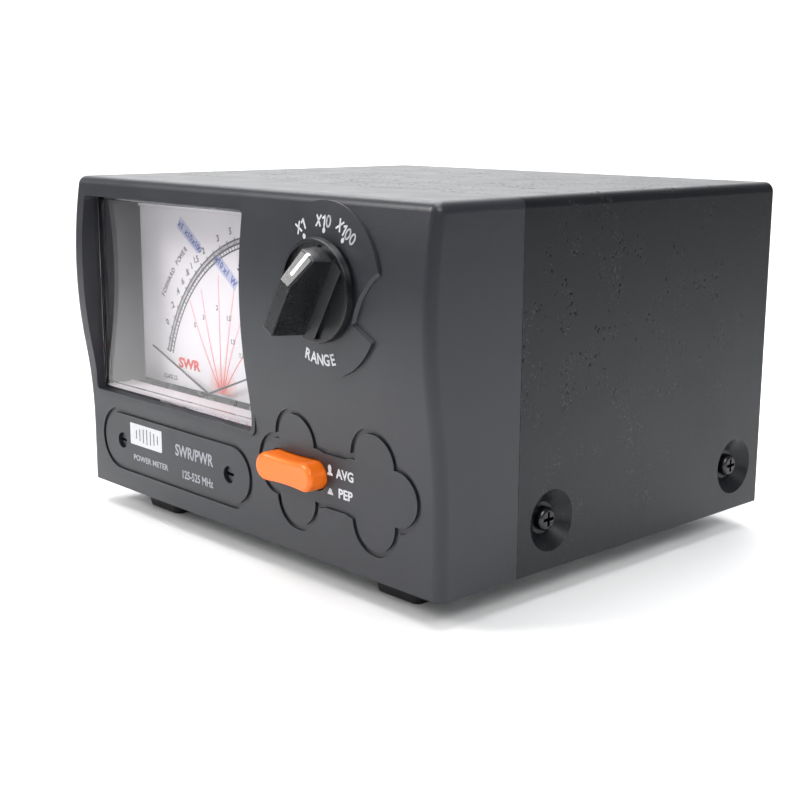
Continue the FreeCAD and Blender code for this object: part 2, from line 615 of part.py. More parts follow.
def make_foot(x, y):
    top = rounded_square(x, y, FOOT_SIZE / 2 + FOOT_DRAFT, FOOT_CORNER_R + FOOT_DRAFT / 2, PLATE_LOW)
    foot = Part.makeLoft([rounded_square(x, y, FOOT_SIZE / 2, FOOT_CORNER_R, 0), top], True, True)
    sole = [e for e in foot.Edges if e.BoundBox.ZMax < 0.01]
    foot = foot.makeFillet(0.6, sole)
    sink = rod_z(x, y, FOOT_SINK_R, -1, FOOT_SINK_DEPTH)
    return without(foot, [sink, rod_z(x, y, hole_r(), -1, PLATE_LOW + 1)])


def make_foot_screws():
    places = [(x, y, FOOT_SINK_DEPTH) for x, y in FOOT_PLACES.values()]
    return screws(places, vec(0, 0, -1), PLATE_TOP + 2.0 - FOOT_SINK_DEPTH)


def make_rear_screws():
    return screws([(x, y, PLATE_LOW) for x, y in REAR_SCREW_PLACES], vec(0, 0, -1), 5.0)


# ---------------------------------------------------------------- range switch and knob
def to_panel(shape, pointing):
    """From a drawing with the pointer along +Y and the panel below, to its place on the front."""
    turned = shape.copy()
    upright = FreeCAD.Rotation(vec(1, 0, 0), 90)
    point = FreeCAD.Rotation(vec(0, 1, 0), pointing)
    turned.Placement = FreeCAD.Placement(vec(KNOB_X, Y_FRONT, KNOB_HEIGHT), point.multiply(upright))
    return turned


KNOB_LOW = DISC_RISE + SKIRT_GAP
KNOB_DECK = KNOB_LOW + SKIRT_THICKNESS
GRIP_LENGTH_TO_TIP = GRIP_R - GRIP_NOSE


def grip_solid():
    """The finger bar across the knob, with its pointer end sloping down to the tip."""
    low, high = KNOB_DECK - 0.3, KNOB_REACH
    corners = [(-GRIP_BASE_HALF, low), (GRIP_BASE_HALF, low), (GRIP_TOP_HALF, high), (-GRIP_TOP_HALF, high)]
    points = [vec(x, -GRIP_R - 1, z) for x, z in corners]
    bar = Part.Face(Part.makePolygon(points + [points[0]])).extrude(vec(0, 2 * GRIP_R + 2, 0))
    bar = bar.common(Part.makeCone(GRIP_R + 0.1, GRIP_R - 0.1, high - low, vec(0, 0, low)))
    slope = [vec(-GRIP_R, GRIP_NOSE, high), vec(-GRIP_R, GRIP_R + 1, high - slope_drop(GRIP_R + 1)),
             vec(-GRIP_R, GRIP_R + 1, high + 1), vec(-GRIP_R, GRIP_NOSE, high + 1)]
    bar = bar.cut(Part.Face(Part.makePolygon(slope + [slope[0]])).extrude(vec(2 * GRIP_R, 0, 0)))
    crest = [e for e in bar.Edges if e.BoundBox.ZMin > low + 1 or
             (e.BoundBox.ZMax > high - 0.1 and e.BoundBox.ZMin > KNOB_DECK + 1)]
    return bar.makeFillet(GRIP_EDGE_R, crest)


def slope_drop(along):
    return (along - GRIP_NOSE) * GRIP_TIP_DROP / GRIP_LENGTH_TO_TIP


def line_inlay():
    """The groove for the white line, cut square to the pointer slope."""
    angle = math.degrees(math.atan2(GRIP_TIP_DROP, GRIP_LENGTH_TO_TIP))
    bar = block(-LINE_WIDTH / 2, LINE_WIDTH / 2, LINE_START - GRIP_NOSE, GRIP_R, -LINE_DEPTH, 1)
    bar.rotate(vec(0, 0, 0), vec(1, 0, 0), -angle)
    bar.translate(vec(0, GRIP_NOSE, KNOB_REACH))
    return bar


def shaft_solid(low, high, grow):
    """Switch shaft with its driving flat, drawn with the panel below."""
    flat_start = KNOB_LOW - HUB_LENGTH
    rod = Part.makeCylinder(SHAFT_R + grow, high - low, vec(0, 0, low))
    flat = block(-SHAFT_R - 1, SHAFT_R + 1, SHAFT_FLAT + grow, SHAFT_R + 1, flat_start - 0.4, high + 1)
    return rod.cut(flat)


def make_range_knob():
    skirt = Part.makeCone(SKIRT_R, SKIRT_TOP_R, SKIRT_THICKNESS, vec(0, 0, KNOB_LOW))
    edge = [e for e in skirt.Edges if e.BoundBox.ZMin > KNOB_DECK - 0.01]
    skirt = skirt.makeFillet(0.25, edge)
    pocket = Part.makeCylinder(RIM_INNER_R, SKIRT_THICKNESS, vec(0, 0, KNOB_DECK - POCKET_DEPTH))
    pocket = pocket.cut(block(-LEDGE_HALF, LEDGE_HALF, -SKIRT_R, SKIRT_R, 0, KNOB_REACH))
    skirt = skirt.cut(pocket)
    hub = Part.makeCylinder(HUB_R, HUB_LENGTH + 0.5, vec(0, 0, KNOB_LOW - HUB_LENGTH))
    foot = fillet_wedges()
    knob = joined([skirt, hub, grip_solid()] + foot)
    bore = shaft_solid(KNOB_LOW - HUB_LENGTH - 1, KNOB_DECK + SHAFT_GRIP + 0.2, SLIP)
    return to_panel(without(knob, [line_inlay(), bore]), POINTING)


def fillet_wedges():
    """The shallow slopes along both feet of the grip."""
    wedges = []
    for side in (-1, 1):
        rise = 0.55
        points = [vec(side * (GRIP_BASE_HALF - 0.4), -GRIP_R, KNOB_DECK - 0.2),
                  vec(side * LEDGE_HALF, -GRIP_R, KNOB_DECK - 0.2),
                  vec(side * LEDGE_HALF, -GRIP_R, KNOB_DECK),
                  vec(side * (GRIP_BASE_HALF - 0.4), -GRIP_R, KNOB_DECK + rise)]
        wedge = Part.Face(Part.makePolygon(points + [points[0]])).extrude(vec(0, 2 * GRIP_R, 0))
        wedges.append(wedge.common(Part.makeCylinder(RIM_INNER_R, 4, vec(0, 0, KNOB_LOW))))
    return wedges


def make_knob_pointer_line():
    return to_panel(grip_solid().common(line_inlay()), POINTING)


SWITCH_BODY_DEPTH = 10.0
SWITCH_BODY_R = 11.0
BUSHING_R = 3.3
BUSHING_FRONT = 1.4


def range_body_front():
    return SWITCH_BOARD_SETBACK - SWITCH_BODY_DEPTH - 1.5


def make_range_shaft():
    """Shaft and the contact disc it turns inside the switch."""
    back = -range_body_front() - SWITCH_BODY_DEPTH + 2.0
    shaft = shaft_solid(back, KNOB_DECK + SHAFT_GRIP, 0)
    rotor = Part.makeCylinder(SWITCH_BODY_R - 3.0, 2.0, vec(0, 0, back + 1.5))
    wiper = block(-1.0, 1.0, SWITCH_BODY_R - 3.5, SWITCH_BODY_R - 2.2, back + 1.5, back + 3.5)
    return to_panel(joined([shaft, rotor, wiper]), POINTING)


def make_range_switch_body():
    x, z = KNOB_X, KNOB_HEIGHT
    y0 = Y_FRONT + range_body_front()
    y1 = y0 + SWITCH_BODY_DEPTH
    body = rod_y(x, z, SWITCH_BODY_R, y0, y1)
    terminals = []
    for i in range(8):
        a = math.radians(45 * i + 22.5)
        r = SWITCH_BODY_R - 1.2
        terminals.append(rod_y(x + r * math.cos(a), z + r * math.sin(a), 0.5, y1 - 1, Y_SWITCH_BOARD))
    body = joined([body] + terminals)
    chamber = rod_y(x, z, SWITCH_BODY_R - 1.9, y0 + 3.5, y1 - 1.5)
    return without(body, [chamber, rod_y(x, z, SHAFT_R + SLIP, y0 - 1, y0 + 4)])


def make_range_bushing():
    x, z = KNOB_X, KNOB_HEIGHT
    y1 = Y_FRONT + range_body_front()
    tube = rod_y(x, z, BUSHING_R, Y_FRONT + BUSHING_FRONT, y1)
    collar = rod_y(x, z, BUSHING_R + 2.0, y1 - 1.2, y1)
    return without(joined([tube, collar]), [rod_y(x, z, SHAFT_R + SLIP, Y_FRONT, y1 + 1)])


# ---------------------------------------------------------------- mode push-button
FACE_FLAT = Y_FRONT + FACE_DEPTH
CAP_BACK = FACE_FLAT + BEZEL_WALL + SMALL_GAP
MODE_BODY_FRONT = CAP_BACK + CAP_FLANGE + BUTTON_TRAVEL + SMALL_GAP
PLUNGER_END = MODE_BODY_FRONT + 2.2
SPRING_END = Y_SWITCH_BOARD - 1.0


def make_mode_button():
    front = FACE_FLAT - CAP_REACH
    cap = cap_outline(0, front, CAP_BACK + CAP_FLANGE)
    z = Z_FLOOR + CAP_Z
    bow = ((CAP_LENGTH / 2) ** 2 - CAP_DISH ** 2) / (2 * CAP_DISH) + CAP_DISH
    hollow = Part.makeCylinder(bow, CAP_HEIGHT * 3, vec(CAP_X, front + CAP_DISH - bow, z - CAP_HEIGHT * 1.5))
    cap = cap.cut(hollow)
    rim = [e for e in cap.Edges if e.BoundBox.YMax < front + CAP_DISH + 0.1]
    cap = cap.makeFillet(CAP_EDGE_R, rim)
    flange = cap_outline(1.0, CAP_BACK, CAP_BACK + CAP_FLANGE)
    return joined([cap, flange])


def make_mode_plunger():
    z = Z_FLOOR + CAP_Z
    return block(CAP_X - PLUNGER_HALF, CAP_X + PLUNGER_HALF, CAP_BACK + CAP_FLANGE, PLUNGER_END,
                 z - PLUNGER_HALF, z + PLUNGER_HALF)


def make_mode_switch_body():
    z = Z_FLOOR + CAP_Z
    h = MODE_BODY_HALF
    body = block(CAP_X - h, CAP_X + h, MODE_BODY_FRONT, Y_SWITCH_BOARD, z - h, z + h)
    w = PLUNGER_HALF + 0.1
    return without(body, [block(CAP_X - w, CAP_X + w, MODE_BODY_FRONT - 1, SPRING_END, z - w, z + w)])


def make_mode_spring():
    """Return spring between the plunger and the back of the switch body."""
    rings = []
    start = PLUNGER_END + SPRING_WIRE_R
    pitch = (SPRING_END - PLUNGER_END - 2 * SPRING_WIRE_R) / (SPRING_TURNS - 1)
    for i in range(SPRING_TURNS):
        centre = vec(CAP_X, start + i * pitch, Z_FLOOR + CAP_Z)
        rings.append(Part.makeTorus(SPRING_R, SPRING_WIRE_R, centre, vec(0, 1, 0)))
    links = [rod_y(CAP_X + (1 if i % 2 else -1) * SPRING_R, Z_FLOOR + CAP_Z, SPRING_WIRE_R * 0.8,
                   start + i * pitch, start + (i + 1) * pitch) for i in range(SPRING_TURNS - 1)]
    return joined(rings + links)


# ---------------------------------------------------------------- meter
def make_meter_cover():
    """Clear moulding: a skirted tray whose bevelled front stands up inside the bezel opening."""
    low = METER_COVER_LOW
    high = Z_FLOOR + METER_HIGH
    outer = block(METER_LEFT, METER_RIGHT, Y_WINDOW, Y_WINDOW + COVER_SKIRT, low, high)
    inner = block(METER_LEFT + METER_WALL, METER_RIGHT - METER_WALL, Y_WINDOW + METER_WALL,
                  Y_WINDOW + COVER_SKIRT + 1, low + METER_WALL, high - METER_WALL)
    front = Y_WINDOW - COVER_RISE
    raised = window_hole(-SMALL_GAP, front, Y_WINDOW + METER_WALL)
    rim = [e for e in raised.Edges if e.BoundBox.YMax < front + 0.01]
    raised = raised.makeChamfer(COVER_BEVEL, rim)
    inset = METER_WALL + SMALL_GAP
    pocket = block(WINDOW_LEFT + inset, WINDOW_RIGHT - inset, front + METER_WALL, Y_WINDOW + COVER_SKIRT,
                   Z_FLOOR + WINDOW_LOW + inset, Z_FLOOR + WINDOW_HIGH - inset)
    return without(joined([outer, raised]), [inner, pocket])


def make_meter_housing():
    """Tub behind the clear cover, narrower round the movements, with side liners that frame the dial."""
    low, high = Z_FLOOR + METER_LOW, Z_FLOOR + METER_HIGH
    ledge = METER_COVER_LOW - SLIP
    chin = FACE_FLAT + BEZEL_WALL + 1.0
    y_step = Y_WINDOW + COVER_SKIRT + SLIP
    left, right = METER_X - MOVEMENT_HALF, METER_X + MOVEMENT_HALF
    w = METER_WALL
    tub = joined([block(METER_LEFT, METER_RIGHT, y_step, Y_METER_BACK, ledge, high),
                  block(left, right, y_step, Y_METER_BACK, low, ledge + w),
                  block(left, right, chin, y_step + 1, low, ledge)])
    rooms = [block(METER_LEFT + w, METER_RIGHT - w, y_step - 1, Y_METER_BACK - w, ledge + w, high - w),
             block(left + w, right - w, y_step - 1, Y_METER_BACK - w, low + w, ledge + w + 1),
             block(left + w, right - w, chin + w, y_step + 1, low + w, ledge + 1)]
    ears = [block(x - EAR_HALF, x + EAR_HALF, Y_FRONT + EAR_SETBACK, Y_FRONT + EAR_SETBACK + EAR_THICKNESS,
                  z - EAR_HALF, low + 0.5) for x, z in EAR_PLACES]
    x, z = HIGH_EAR_PLACE
    ears.append(block(METER_RIGHT - 0.5, x + EAR_HALF, Y_UPRIGHT - EAR_THICKNESS, Y_UPRIGHT - SLIP,
                      z - EAR_HALF, z + EAR_HALF))
    ribs = [block(x0, x0 + w, Y_DIAL + DIAL_THICKNESS, Y_METER_BACK - w / 2, Z_FLOOR + DIAL_LOW, high - w / 2)
            for x0 in (METER_LEFT + w / 2, METER_RIGHT - 1.5 * w)]
    seats = [rod_y(pivot_x(side), PIVOT_HEIGHT, YOKE_R - 2.5, movement_back() + YOKE_PLATE,
                   Y_METER_BACK - w / 2) for side in (-1, 1)]
    liners = []
    for side in (-1, 1):
        wall = METER_X + side * (METER_RIGHT - METER_LEFT) / 2
        near, far = wall - side * (w + 0.1), wall - side * (w + 0.1 + LINER_THICKNESS)
        z0, z1 = Z_FLOOR + MASK_TOP + 0.1, high - w - 0.1
        root = y_step + LINER_ROOT
        liners.append(block(min(near, far), max(near, far), Y_WINDOW + w + SMALL_GAP, root, z0, z1))
        liners.append(block(min(wall - side * w / 2, far), max(wall - side * w / 2, far), y_step + 0.1,
                            root, z0, z1))
    housing = joined([tub.cut(Part.makeCompound(rooms))] + ears + ribs + seats + liners)
    cuts = [rod_y(x, z, hole_r(), Y_FRONT, Y_SEAM) for x, z in EAR_PLACES + [HIGH_EAR_PLACE]]
    for side in (-1, 1):
        cuts.append(rod_y(METER_X + side * ZERO_OFFSET, ZERO_HEIGHT, ZERO_NECK_R + SLIP,
                          chin - 1, chin + w + 1))
    return without(housing, cuts)


def make_dial_plate():
    return block(METER_LEFT + METER_WALL + 0.1, METER_RIGHT - METER_WALL - 0.1, Y_DIAL,
                 Y_DIAL + DIAL_THICKNESS, Z_FLOOR + DIAL_LOW, Z_FLOOR + METER_HIGH - METER_WALL - 0.1)


def make_meter_mask():
    """White ledge along the bottom of the window, over the movements."""
    x0, x1 = METER_LEFT + METER_WALL + 0.1, METER_RIGHT - METER_WALL - 0.1
    inner = MOVEMENT_HALF - METER_WALL - 0.1
    top = Z_FLOOR + MASK_TOP
    y_apron = Y_WINDOW + COVER_SKIRT + 0.5
    shelf = block(x0, x1, Y_WINDOW + METER_WALL + 0.1, Y_NEEDLE - 1.0, top - MASK_THICKNESS, top)
    apron = block(METER_X - inner, METER_X + inner, y_apron, y_apron + 0.8, METER_COVER_LOW + SMALL_GAP, top)
    return joined([shelf, apron])


def movement_front():
    return Y_DIAL + DIAL_THICKNESS + 1.4


def movement_back():
    return movement_front() + MOVEMENT_LENGTH


def pivot_x(side):
    return METER_X + side * PIVOT_OFFSET


def needle_y(side):
    return Y_NEEDLE if side > 0 else Y_NEEDLE + NEEDLE_STEP


def rest_angle(side):
    """Direction of a needle at rest, in degrees from +X towards +Z."""
    return 180 - NEEDLE_REST if side > 0 else NEEDLE_REST


SWEEP = 78.0


def turned_y(shape, side, degrees):
    """Turn a shape drawn along +X from a movement's axis; degrees run from +X towards +Z."""
    turned = shape.copy()
    turned.rotate(vec(pivot_x(side), 0, PIVOT_HEIGHT), vec(0, 1, 0), -degrees)
    return turned


def middle_angle(side):
    return rest_angle(side) - side * SWEEP / 2


def make_movement_yokes():
    """Soft-iron rings with a back plate that carries the rear bearing."""
    yokes = []
    for side in (-1, 1):
        x = pivot_x(side)
        ring = ring_y(x, PIVOT_HEIGHT, YOKE_R, YOKE_INNER_R, movement_front(), movement_back() + YOKE_PLATE)
        plate = rod_y(x, PIVOT_HEIGHT, YOKE_R, movement_back() + YOKE_PLATE / 2,
                      movement_back() + YOKE_PLATE)
        yoke = joined([ring, plate])
        yokes.append(yoke.cut(rod_y(x, PIVOT_HEIGHT, ARBOR_R + SLIP, movement_back(), Y_METER_BACK)))
    return Part.makeCompound(yokes)


def make_core_magnets():
    """Round magnets held in the rings by two side keys that the coil never reaches."""
    magnets = []
    y0, y1 = movement_front() + 1.0, movement_back() - 1.0
    for side in (-1, 1):
        x = pivot_x(side)
        core = rod_y(x, PIVOT_HEIGHT, MAGNET_R, y0, y1)
        key = block(x - YOKE_INNER_R - 0.5, x + YOKE_INNER_R + 0.5, y0 + 1, y1 - 1,
                    PIVOT_HEIGHT - 1.0, PIVOT_HEIGHT + 1.0)
        key = turned_y(key, side, middle_angle(side) + 90)
        key = key.common(rod_y(x, PIVOT_HEIGHT, YOKE_INNER_R - SLIP, y0, y1))
        magnets.append(joined([core, key]))
    return Part.makeCompound(magnets)


def make_coil(side):
    """Moving coil: a wound rectangular loop round the magnet, with its front and rear pivots."""
    x, z = pivot_x(side), PIVOT_HEIGHT
    y0, y1 = movement_front() - 0.4, movement_back()
    loop = block(x - COIL_R, x + COIL_R, y0, y1, z - COIL_HALF, z + COIL_HALF)
    loop = loop.cut(block(x - COIL_INNER_R, x + COIL_INNER_R, y0 + 1.0, y1 - 0.6,
                          z - COIL_HALF - 1, z + COIL_HALF + 1))
    front = rod_y(x, z, ARBOR_R, Y_NEEDLE - 1.6, y0 + 0.5)
    rear = rod_y(x, z, ARBOR_R, y1 - 0.3, y1 + 1.4)
    return turned_y(joined([loop, front, rear]), side, rest_angle(side))


def make_pointer(side):
    """Needle with its hub and tail weight, drawn along +X and turned to its rest angle."""
    x, z = pivot_x(side), PIVOT_HEIGHT
    y0, y1 = needle_y(side), needle_y(side) + NEEDLE_THICKNESS
    root, tip, tail = 0.36, 0.15, 5.6
    points = [vec(x, y0, z - root), vec(x + NEEDLE_LENGTH, y0, z - tip),
              vec(x + NEEDLE_LENGTH, y0, z + tip), vec(x, y0, z + root)]
    blade = Part.Face(Part.makePolygon(points + [points[0]])).extrude(vec(0, NEEDLE_THICKNESS, 0))
    tail_bar = block(x - tail, x, y0, y1, z - root, z + root)
    weight = rod_y(x - tail, z, 1.3, y0, y1)
    hub = rod_y(x, z, 1.3, y0 - 0.5, y1 + 0.3)
    pointer = joined([blade, tail_bar, weight, hub])
    pointer = pointer.cut(rod_y(x, z, ARBOR_R, y0 - 2, y1 + 2))
    return turned_y(pointer, side, rest_angle(side))


def lever_angle(side):
    """Direction from a movement's axis to its zero adjuster."""
    dx = METER_X + side * ZERO_OFFSET - pivot_x(side)
    return math.degrees(math.atan2(ZERO_HEIGHT - PIVOT_HEIGHT, dx))


LEVER_BORE_R = 1.3
LEVER_Y = (Y_NEEDLE - 3.6, Y_NEEDLE - 2.9)
BRIDGE_Y = (Y_NEEDLE - 2.5, Y_NEEDLE - 1.7)


def make_movement_bridges():
    """Front bearing bridges: a strap under each axis, a leg back to the ring and a bearing boss."""
    bridges = []
    for side in (-1, 1):
        x, z = pivot_x(side), PIVOT_HEIGHT
        drop = z - YOKE_R + 0.4
        strap = block(x - 1.8, x + 1.8, *BRIDGE_Y, drop, z)
        eye = rod_y(x, z, 1.8, *BRIDGE_Y)
        leg = block(x - 1.8, x + 1.8, BRIDGE_Y[0], movement_front(), drop, drop + 0.8)
        boss = rod_y(x, z, LEVER_BORE_R - JOINT_GAP, LEVER_Y[0] - 0.2, BRIDGE_Y[1])
        bridge = joined([strap, eye, leg, boss])
        bridges.append(bridge.cut(rod_y(x, z, ARBOR_R + SLIP, BRIDGE_Y[1] - 1.0, BRIDGE_Y[1] + 1)))
    return Part.makeCompound(bridges)


def make_zero_lever(side):
    """Ring on the bridge boss, with a fork over the adjuster's eccentric pin."""
    x, z = pivot_x(side), PIVOT_HEIGHT
    adjuster = METER_X + side * ZERO_OFFSET
    reach = math.hypot(adjuster - x, ZERO_HEIGHT - z)
    ring = ring_y(x, z, LEVER_BORE_R + 1.1, LEVER_BORE_R, *LEVER_Y)
    arm = block(x + LEVER_BORE_R + 0.4, x + reach - ECCENTRIC + 1.2, *LEVER_Y, z - 1.2, z + 1.2)
    slot_half = ECCENTRIC_R + JOINT_GAP / 2
    slot = block(x + reach - ECCENTRIC - 1.0, x + reach + 2, LEVER_Y[0] - 1, LEVER_Y[1] + 1,
                 z - slot_half, z + slot_half)
    tail = block(x - LEVER_BORE_R - 2.4, x - LEVER_BORE_R - 0.4, *LEVER_Y, z - 0.5, z + 0.5)
    lever = joined([ring, arm, tail]).cut(slot)
    return turned_y(lever, side, lever_angle(side))


def make_zero_screw(side):
    """Slotted adjuster behind its hole in the bezel, with an eccentric pin at its back."""
    x, z = METER_X + side * ZERO_OFFSET, ZERO_HEIGHT
    chin = FACE_FLAT + BEZEL_WALL + 1.0
    head = rod_y(x, z, ZERO_HOLE_R - ZERO_HEAD_GAP, FACE_FLAT + 0.8, chin - 0.15)
    head = head.cut(block(x - ZERO_HOLE_R, x + ZERO_HOLE_R, FACE_FLAT, FACE_FLAT + 1.9, z - 0.35, z + 0.35))
    neck = rod_y(x, z, ZERO_NECK_R, chin - 0.5, chin + METER_WALL + 0.2)
    disc = rod_y(x, z, 1.9, chin + METER_WALL + 0.15, LEVER_Y[0] - 0.4)
    towards = math.radians(lever_angle(side))
    pin = rod_y(x - ECCENTRIC * math.cos(towards), z - ECCENTRIC * math.sin(towards), ECCENTRIC_R,
                LEVER_Y[0] - 0.6, LEVER_Y[1] + 0.1)
    return joined([head, neck, disc, pin])


def make_hairsprings():
    """Flat spirals between each needle and its coil, drawn as half turns of growing radius."""
    springs = []
    y0 = Y_NEEDLE + NEEDLE_STEP + NEEDLE_THICKNESS + 0.8
    y1 = y0 + 0.4
    strip, step = 0.16, 0.2
    for side in (-1, 1):
        x, z = pivot_x(side), PIVOT_HEIGHT
        halves = []
        radius = 0.9
        centre = x
        for i in range(9):
            up = 1 if i % 2 == 0 else -1
            keep = block(centre - 6, centre + 6, y0 - 1, y1 + 1, z, z + 6) if up > 0 else \
                block(centre - 6, centre + 6, y0 - 1, y1 + 1, z - 6, z)
            halves.append(ring_y(centre, z, radius + strip, radius, y0, y1).common(keep))
            centre -= up * step
            radius += step
        springs.append(joined(halves))
    return Part.makeCompound(springs)


LAMP_X = [METER_X - 20.0, METER_X, METER_X + 20.0]


def make_lamp_strip():
    """Narrow board behind the dial that carries the lamps."""
    z = Z_FLOOR + (WINDOW_LOW + WINDOW_HIGH) / 2
    y1 = Y_METER_BACK - METER_WALL
    return block(METER_X - 27.0, METER_X + 27.0, y1 - 1.2, y1, z - 4.0, z + 4.0)


def make_dial_lamps():
    z = Z_FLOOR + (WINDOW_LOW + WINDOW_HIGH) / 2
    y1 = Y_METER_BACK - METER_WALL - 1.2
    lamps = []
    for x in LAMP_X:
        body = rod_y(x, z, 1.5, y1 - 2.4, y1)
        dome = Part.makeSphere(1.5, vec(x, y1 - 2.4, z))
        lamps.append(joined([body, dome]))
    return Part.makeCompound(lamps)


# ---------------------------------------------------------------- boards
def make_switch_board():
    """Board behind both controls, cut clear of the post that holds the meter's upper ear."""
    board = block(SWITCH_BOARD_LEFT, SWITCH_BOARD_RIGHT, Y_SWITCH_BOARD, Y_SWITCH_BOARD + BOARD_THICKNESS,
                  Z_FLOOR + SWITCH_BOARD_LOW, SWITCH_BOARD_TOP)
    cuts = [rod_y(px, pz, hole_r(), Y_SWITCH_BOARD - 1, Y_UPRIGHT) for px, pz in SPACER_PLACES]
    cuts.append(rod_y(*HIGH_EAR_PLACE, POST_R + SMALL_GAP, Y_SWITCH_BOARD - 1, Y_UPRIGHT))
    return without(board, cuts)


def make_board_pillars():
    """Threaded pillars pressed into the upright and the floor plate."""
    pillars = []
    for x, z in SPACER_PLACES:
        pillars.append(ring_y(x, z, PILLAR_R, hole_r(), Y_SWITCH_BOARD + BOARD_THICKNESS, Y_UPRIGHT))
    for x, y in PILLAR_PLACES:
        pillar = rod_z(x, y, PILLAR_R, PLATE_TOP, PLATE_TOP + PILLAR_HEIGHT)
        pillars.append(pillar.cut(rod_z(x, y, hole_r(), PLATE_TOP + 0.5, MAIN_BOARD_LOW + 1)))
    return Part.makeCompound(pillars)


def make_board_screws():
    front = screws([(x, Y_SWITCH_BOARD, z) for x, z in SPACER_PLACES], vec(0, -1, 0), 6.0)
    top = screws([(x, y, MAIN_BOARD_TOP) for x, y in PILLAR_PLACES], vec(0, 0, 1), 6.0)
    return Part.makeCompound(front.Solids + top.Solids)


def make_main_board():
    board = block(-MAIN_BOARD_HALF, MAIN_BOARD_HALF, MAIN_FRONT, MAIN_REAR, MAIN_BOARD_LOW, MAIN_BOARD_TOP)
    return without(board, [rod_z(x, y, hole_r(), MAIN_BOARD_LOW - 1, MAIN_BOARD_TOP + 1)
                           for x, y in PILLAR_PLACES])


def make_board_chips():
    chips = []
    for i in range(3):
        x0 = -30.0 + 18.0 * i
        y0 = MAIN_FRONT + 14.0
        chips.append(block(x0, x0 + 10.0, y0, y0 + 6.4, MAIN_BOARD_TOP, MAIN_BOARD_TOP + 3.4))
    return Part.makeCompound(chips)


def make_board_capacitors():
    cans = []
    for i in range(4):
        x, y = -34.0 + 13.0 * i, MAIN_REAR - 8.0
        can = rod_z(x, y, 2.5, MAIN_BOARD_TOP, MAIN_BOARD_TOP + 9.0)
        top = [e for e in can.Edges if e.BoundBox.ZMin > MAIN_BOARD_TOP + 8.9]
        cans.append(can.makeFillet(0.4, top))
    return Part.makeCompound(cans)


def make_trimmers():
    trimmers = []
    for i in range(4):
        x, y = -27.0 + 15.0 * i, MAIN_FRONT + 6.5
        body = block(x - 3.2, x + 3.2, y - 3.2, y + 3.2, MAIN_BOARD_TOP, MAIN_BOARD_TOP + 3.6)
        cap = rod_z(x, y, 2.4, MAIN_BOARD_TOP + 3.5, MAIN_BOARD_TOP + 4.2)
        slot = block(x - 2.0, x + 2.0, y - 0.3, y + 0.3, MAIN_BOARD_TOP + 3.7, MAIN_BOARD_TOP + 5)
        trimmers.append(joined([body, cap]).cut(slot))
    return Part.makeCompound(trimmers)


CABLE_X = 30.0
HEADER_Y = MAIN_FRONT + 28.0
HEADER_HEIGHT = 7.0


def make_cable_header():
    x, y, h = CABLE_X, HEADER_Y, 3.4
    return block(x - h, x + h, y - h, y + h, MAIN_BOARD_TOP, MAIN_BOARD_TOP + HEADER_HEIGHT)


# ---------------------------------------------------------------- coupler, connectors and jack
COUPLER_REAR = Y_PANEL - SLIP
COUPLER_FRONT = COUPLER_REAR - COUPLER_DEPTH
COUPLER_LOW = CONNECTOR_Z - COUPLER_HALF_HEIGHT
COUPLER_TOP = CONNECTOR_Z + COUPLER_HALF_HEIGHT
LINE_Y = COUPLER_REAR - COUPLER_DEPTH * 0.5
LID_THICKNESS = 1.5
LID_PLACES = [(x, y) for x in (-COUPLER_HALF + 4.0, COUPLER_HALF - 4.0)
              for y in (COUPLER_FRONT + 5.0, COUPLER_REAR - 5.0)]
CABLE_Z = CONNECTOR_Z - 4.0


def make_coupler_housing():
    """Cast box behind the rear panel, open at the top, with corner posts and two board ribs."""
    w = COUPLER_WALL
    box = block(-COUPLER_HALF, COUPLER_HALF, COUPLER_FRONT, COUPLER_REAR, COUPLER_LOW, COUPLER_TOP)
    room = block(-COUPLER_HALF + w, COUPLER_HALF - w, COUPLER_FRONT + w, COUPLER_REAR - w,
                 COUPLER_LOW + w, COUPLER_TOP + 1)
    posts = [rod_z(x, y, 3.0, COUPLER_LOW, COUPLER_TOP) for x, y in LID_PLACES]
    ribs = [block(x - 1.0, x + 1.0, COUPLER_FRONT + 1, COUPLER_REAR - 1,
                  COUPLER_LOW + 1, COUPLER_LOW + w + 3.0)
            for x in (-20.0, 20.0)]
    box = joined([box.cut(room)] + posts + ribs)
    cuts = [rod_y(x, CONNECTOR_Z, INSULATOR_R + 1.4 + SLIP, COUPLER_REAR - w - 1, COUPLER_REAR + 1)
            for x in CONNECTOR_PLACES.values()]
    cuts += [rod_y(x, z, hole_r(), COUPLER_REAR - w, COUPLER_REAR + 1) for x, z in FLANGE_SCREW_PLACES]
    cuts += [rod_z(x, y, hole_r(), COUPLER_TOP - 8, COUPLER_TOP + 1) for x, y in LID_PLACES]
    cuts.append(rod_y(CABLE_X, CABLE_Z, CABLE_R + SLIP, COUPLER_FRONT - 1, COUPLER_FRONT + w + 1))
    return without(box, cuts)


def make_coupler_lid():
    lid = block(-COUPLER_HALF, COUPLER_HALF, COUPLER_FRONT, COUPLER_REAR,
                COUPLER_TOP, COUPLER_TOP + LID_THICKNESS)
    return without(lid, [rod_z(x, y, hole_r(), COUPLER_TOP - 1, COUPLER_TOP + 3) for x, y in LID_PLACES])


def make_coupler_lid_screws():
    return screws([(x, y, COUPLER_TOP + LID_THICKNESS) for x, y in LID_PLACES], vec(0, 0, 1), 7.0)


def make_coupler_board():
    """Pick-up board under the through line, resting on the two ribs."""
    z0 = COUPLER_LOW + COUPLER_WALL + 3.0
    return block(-26.0, 26.0, LINE_Y - 8.0, LINE_Y + 6.0, z0, z0 + 1.2)


CONTACT_INNER = COUPLER_REAR - COUPLER_WALL - 4.0


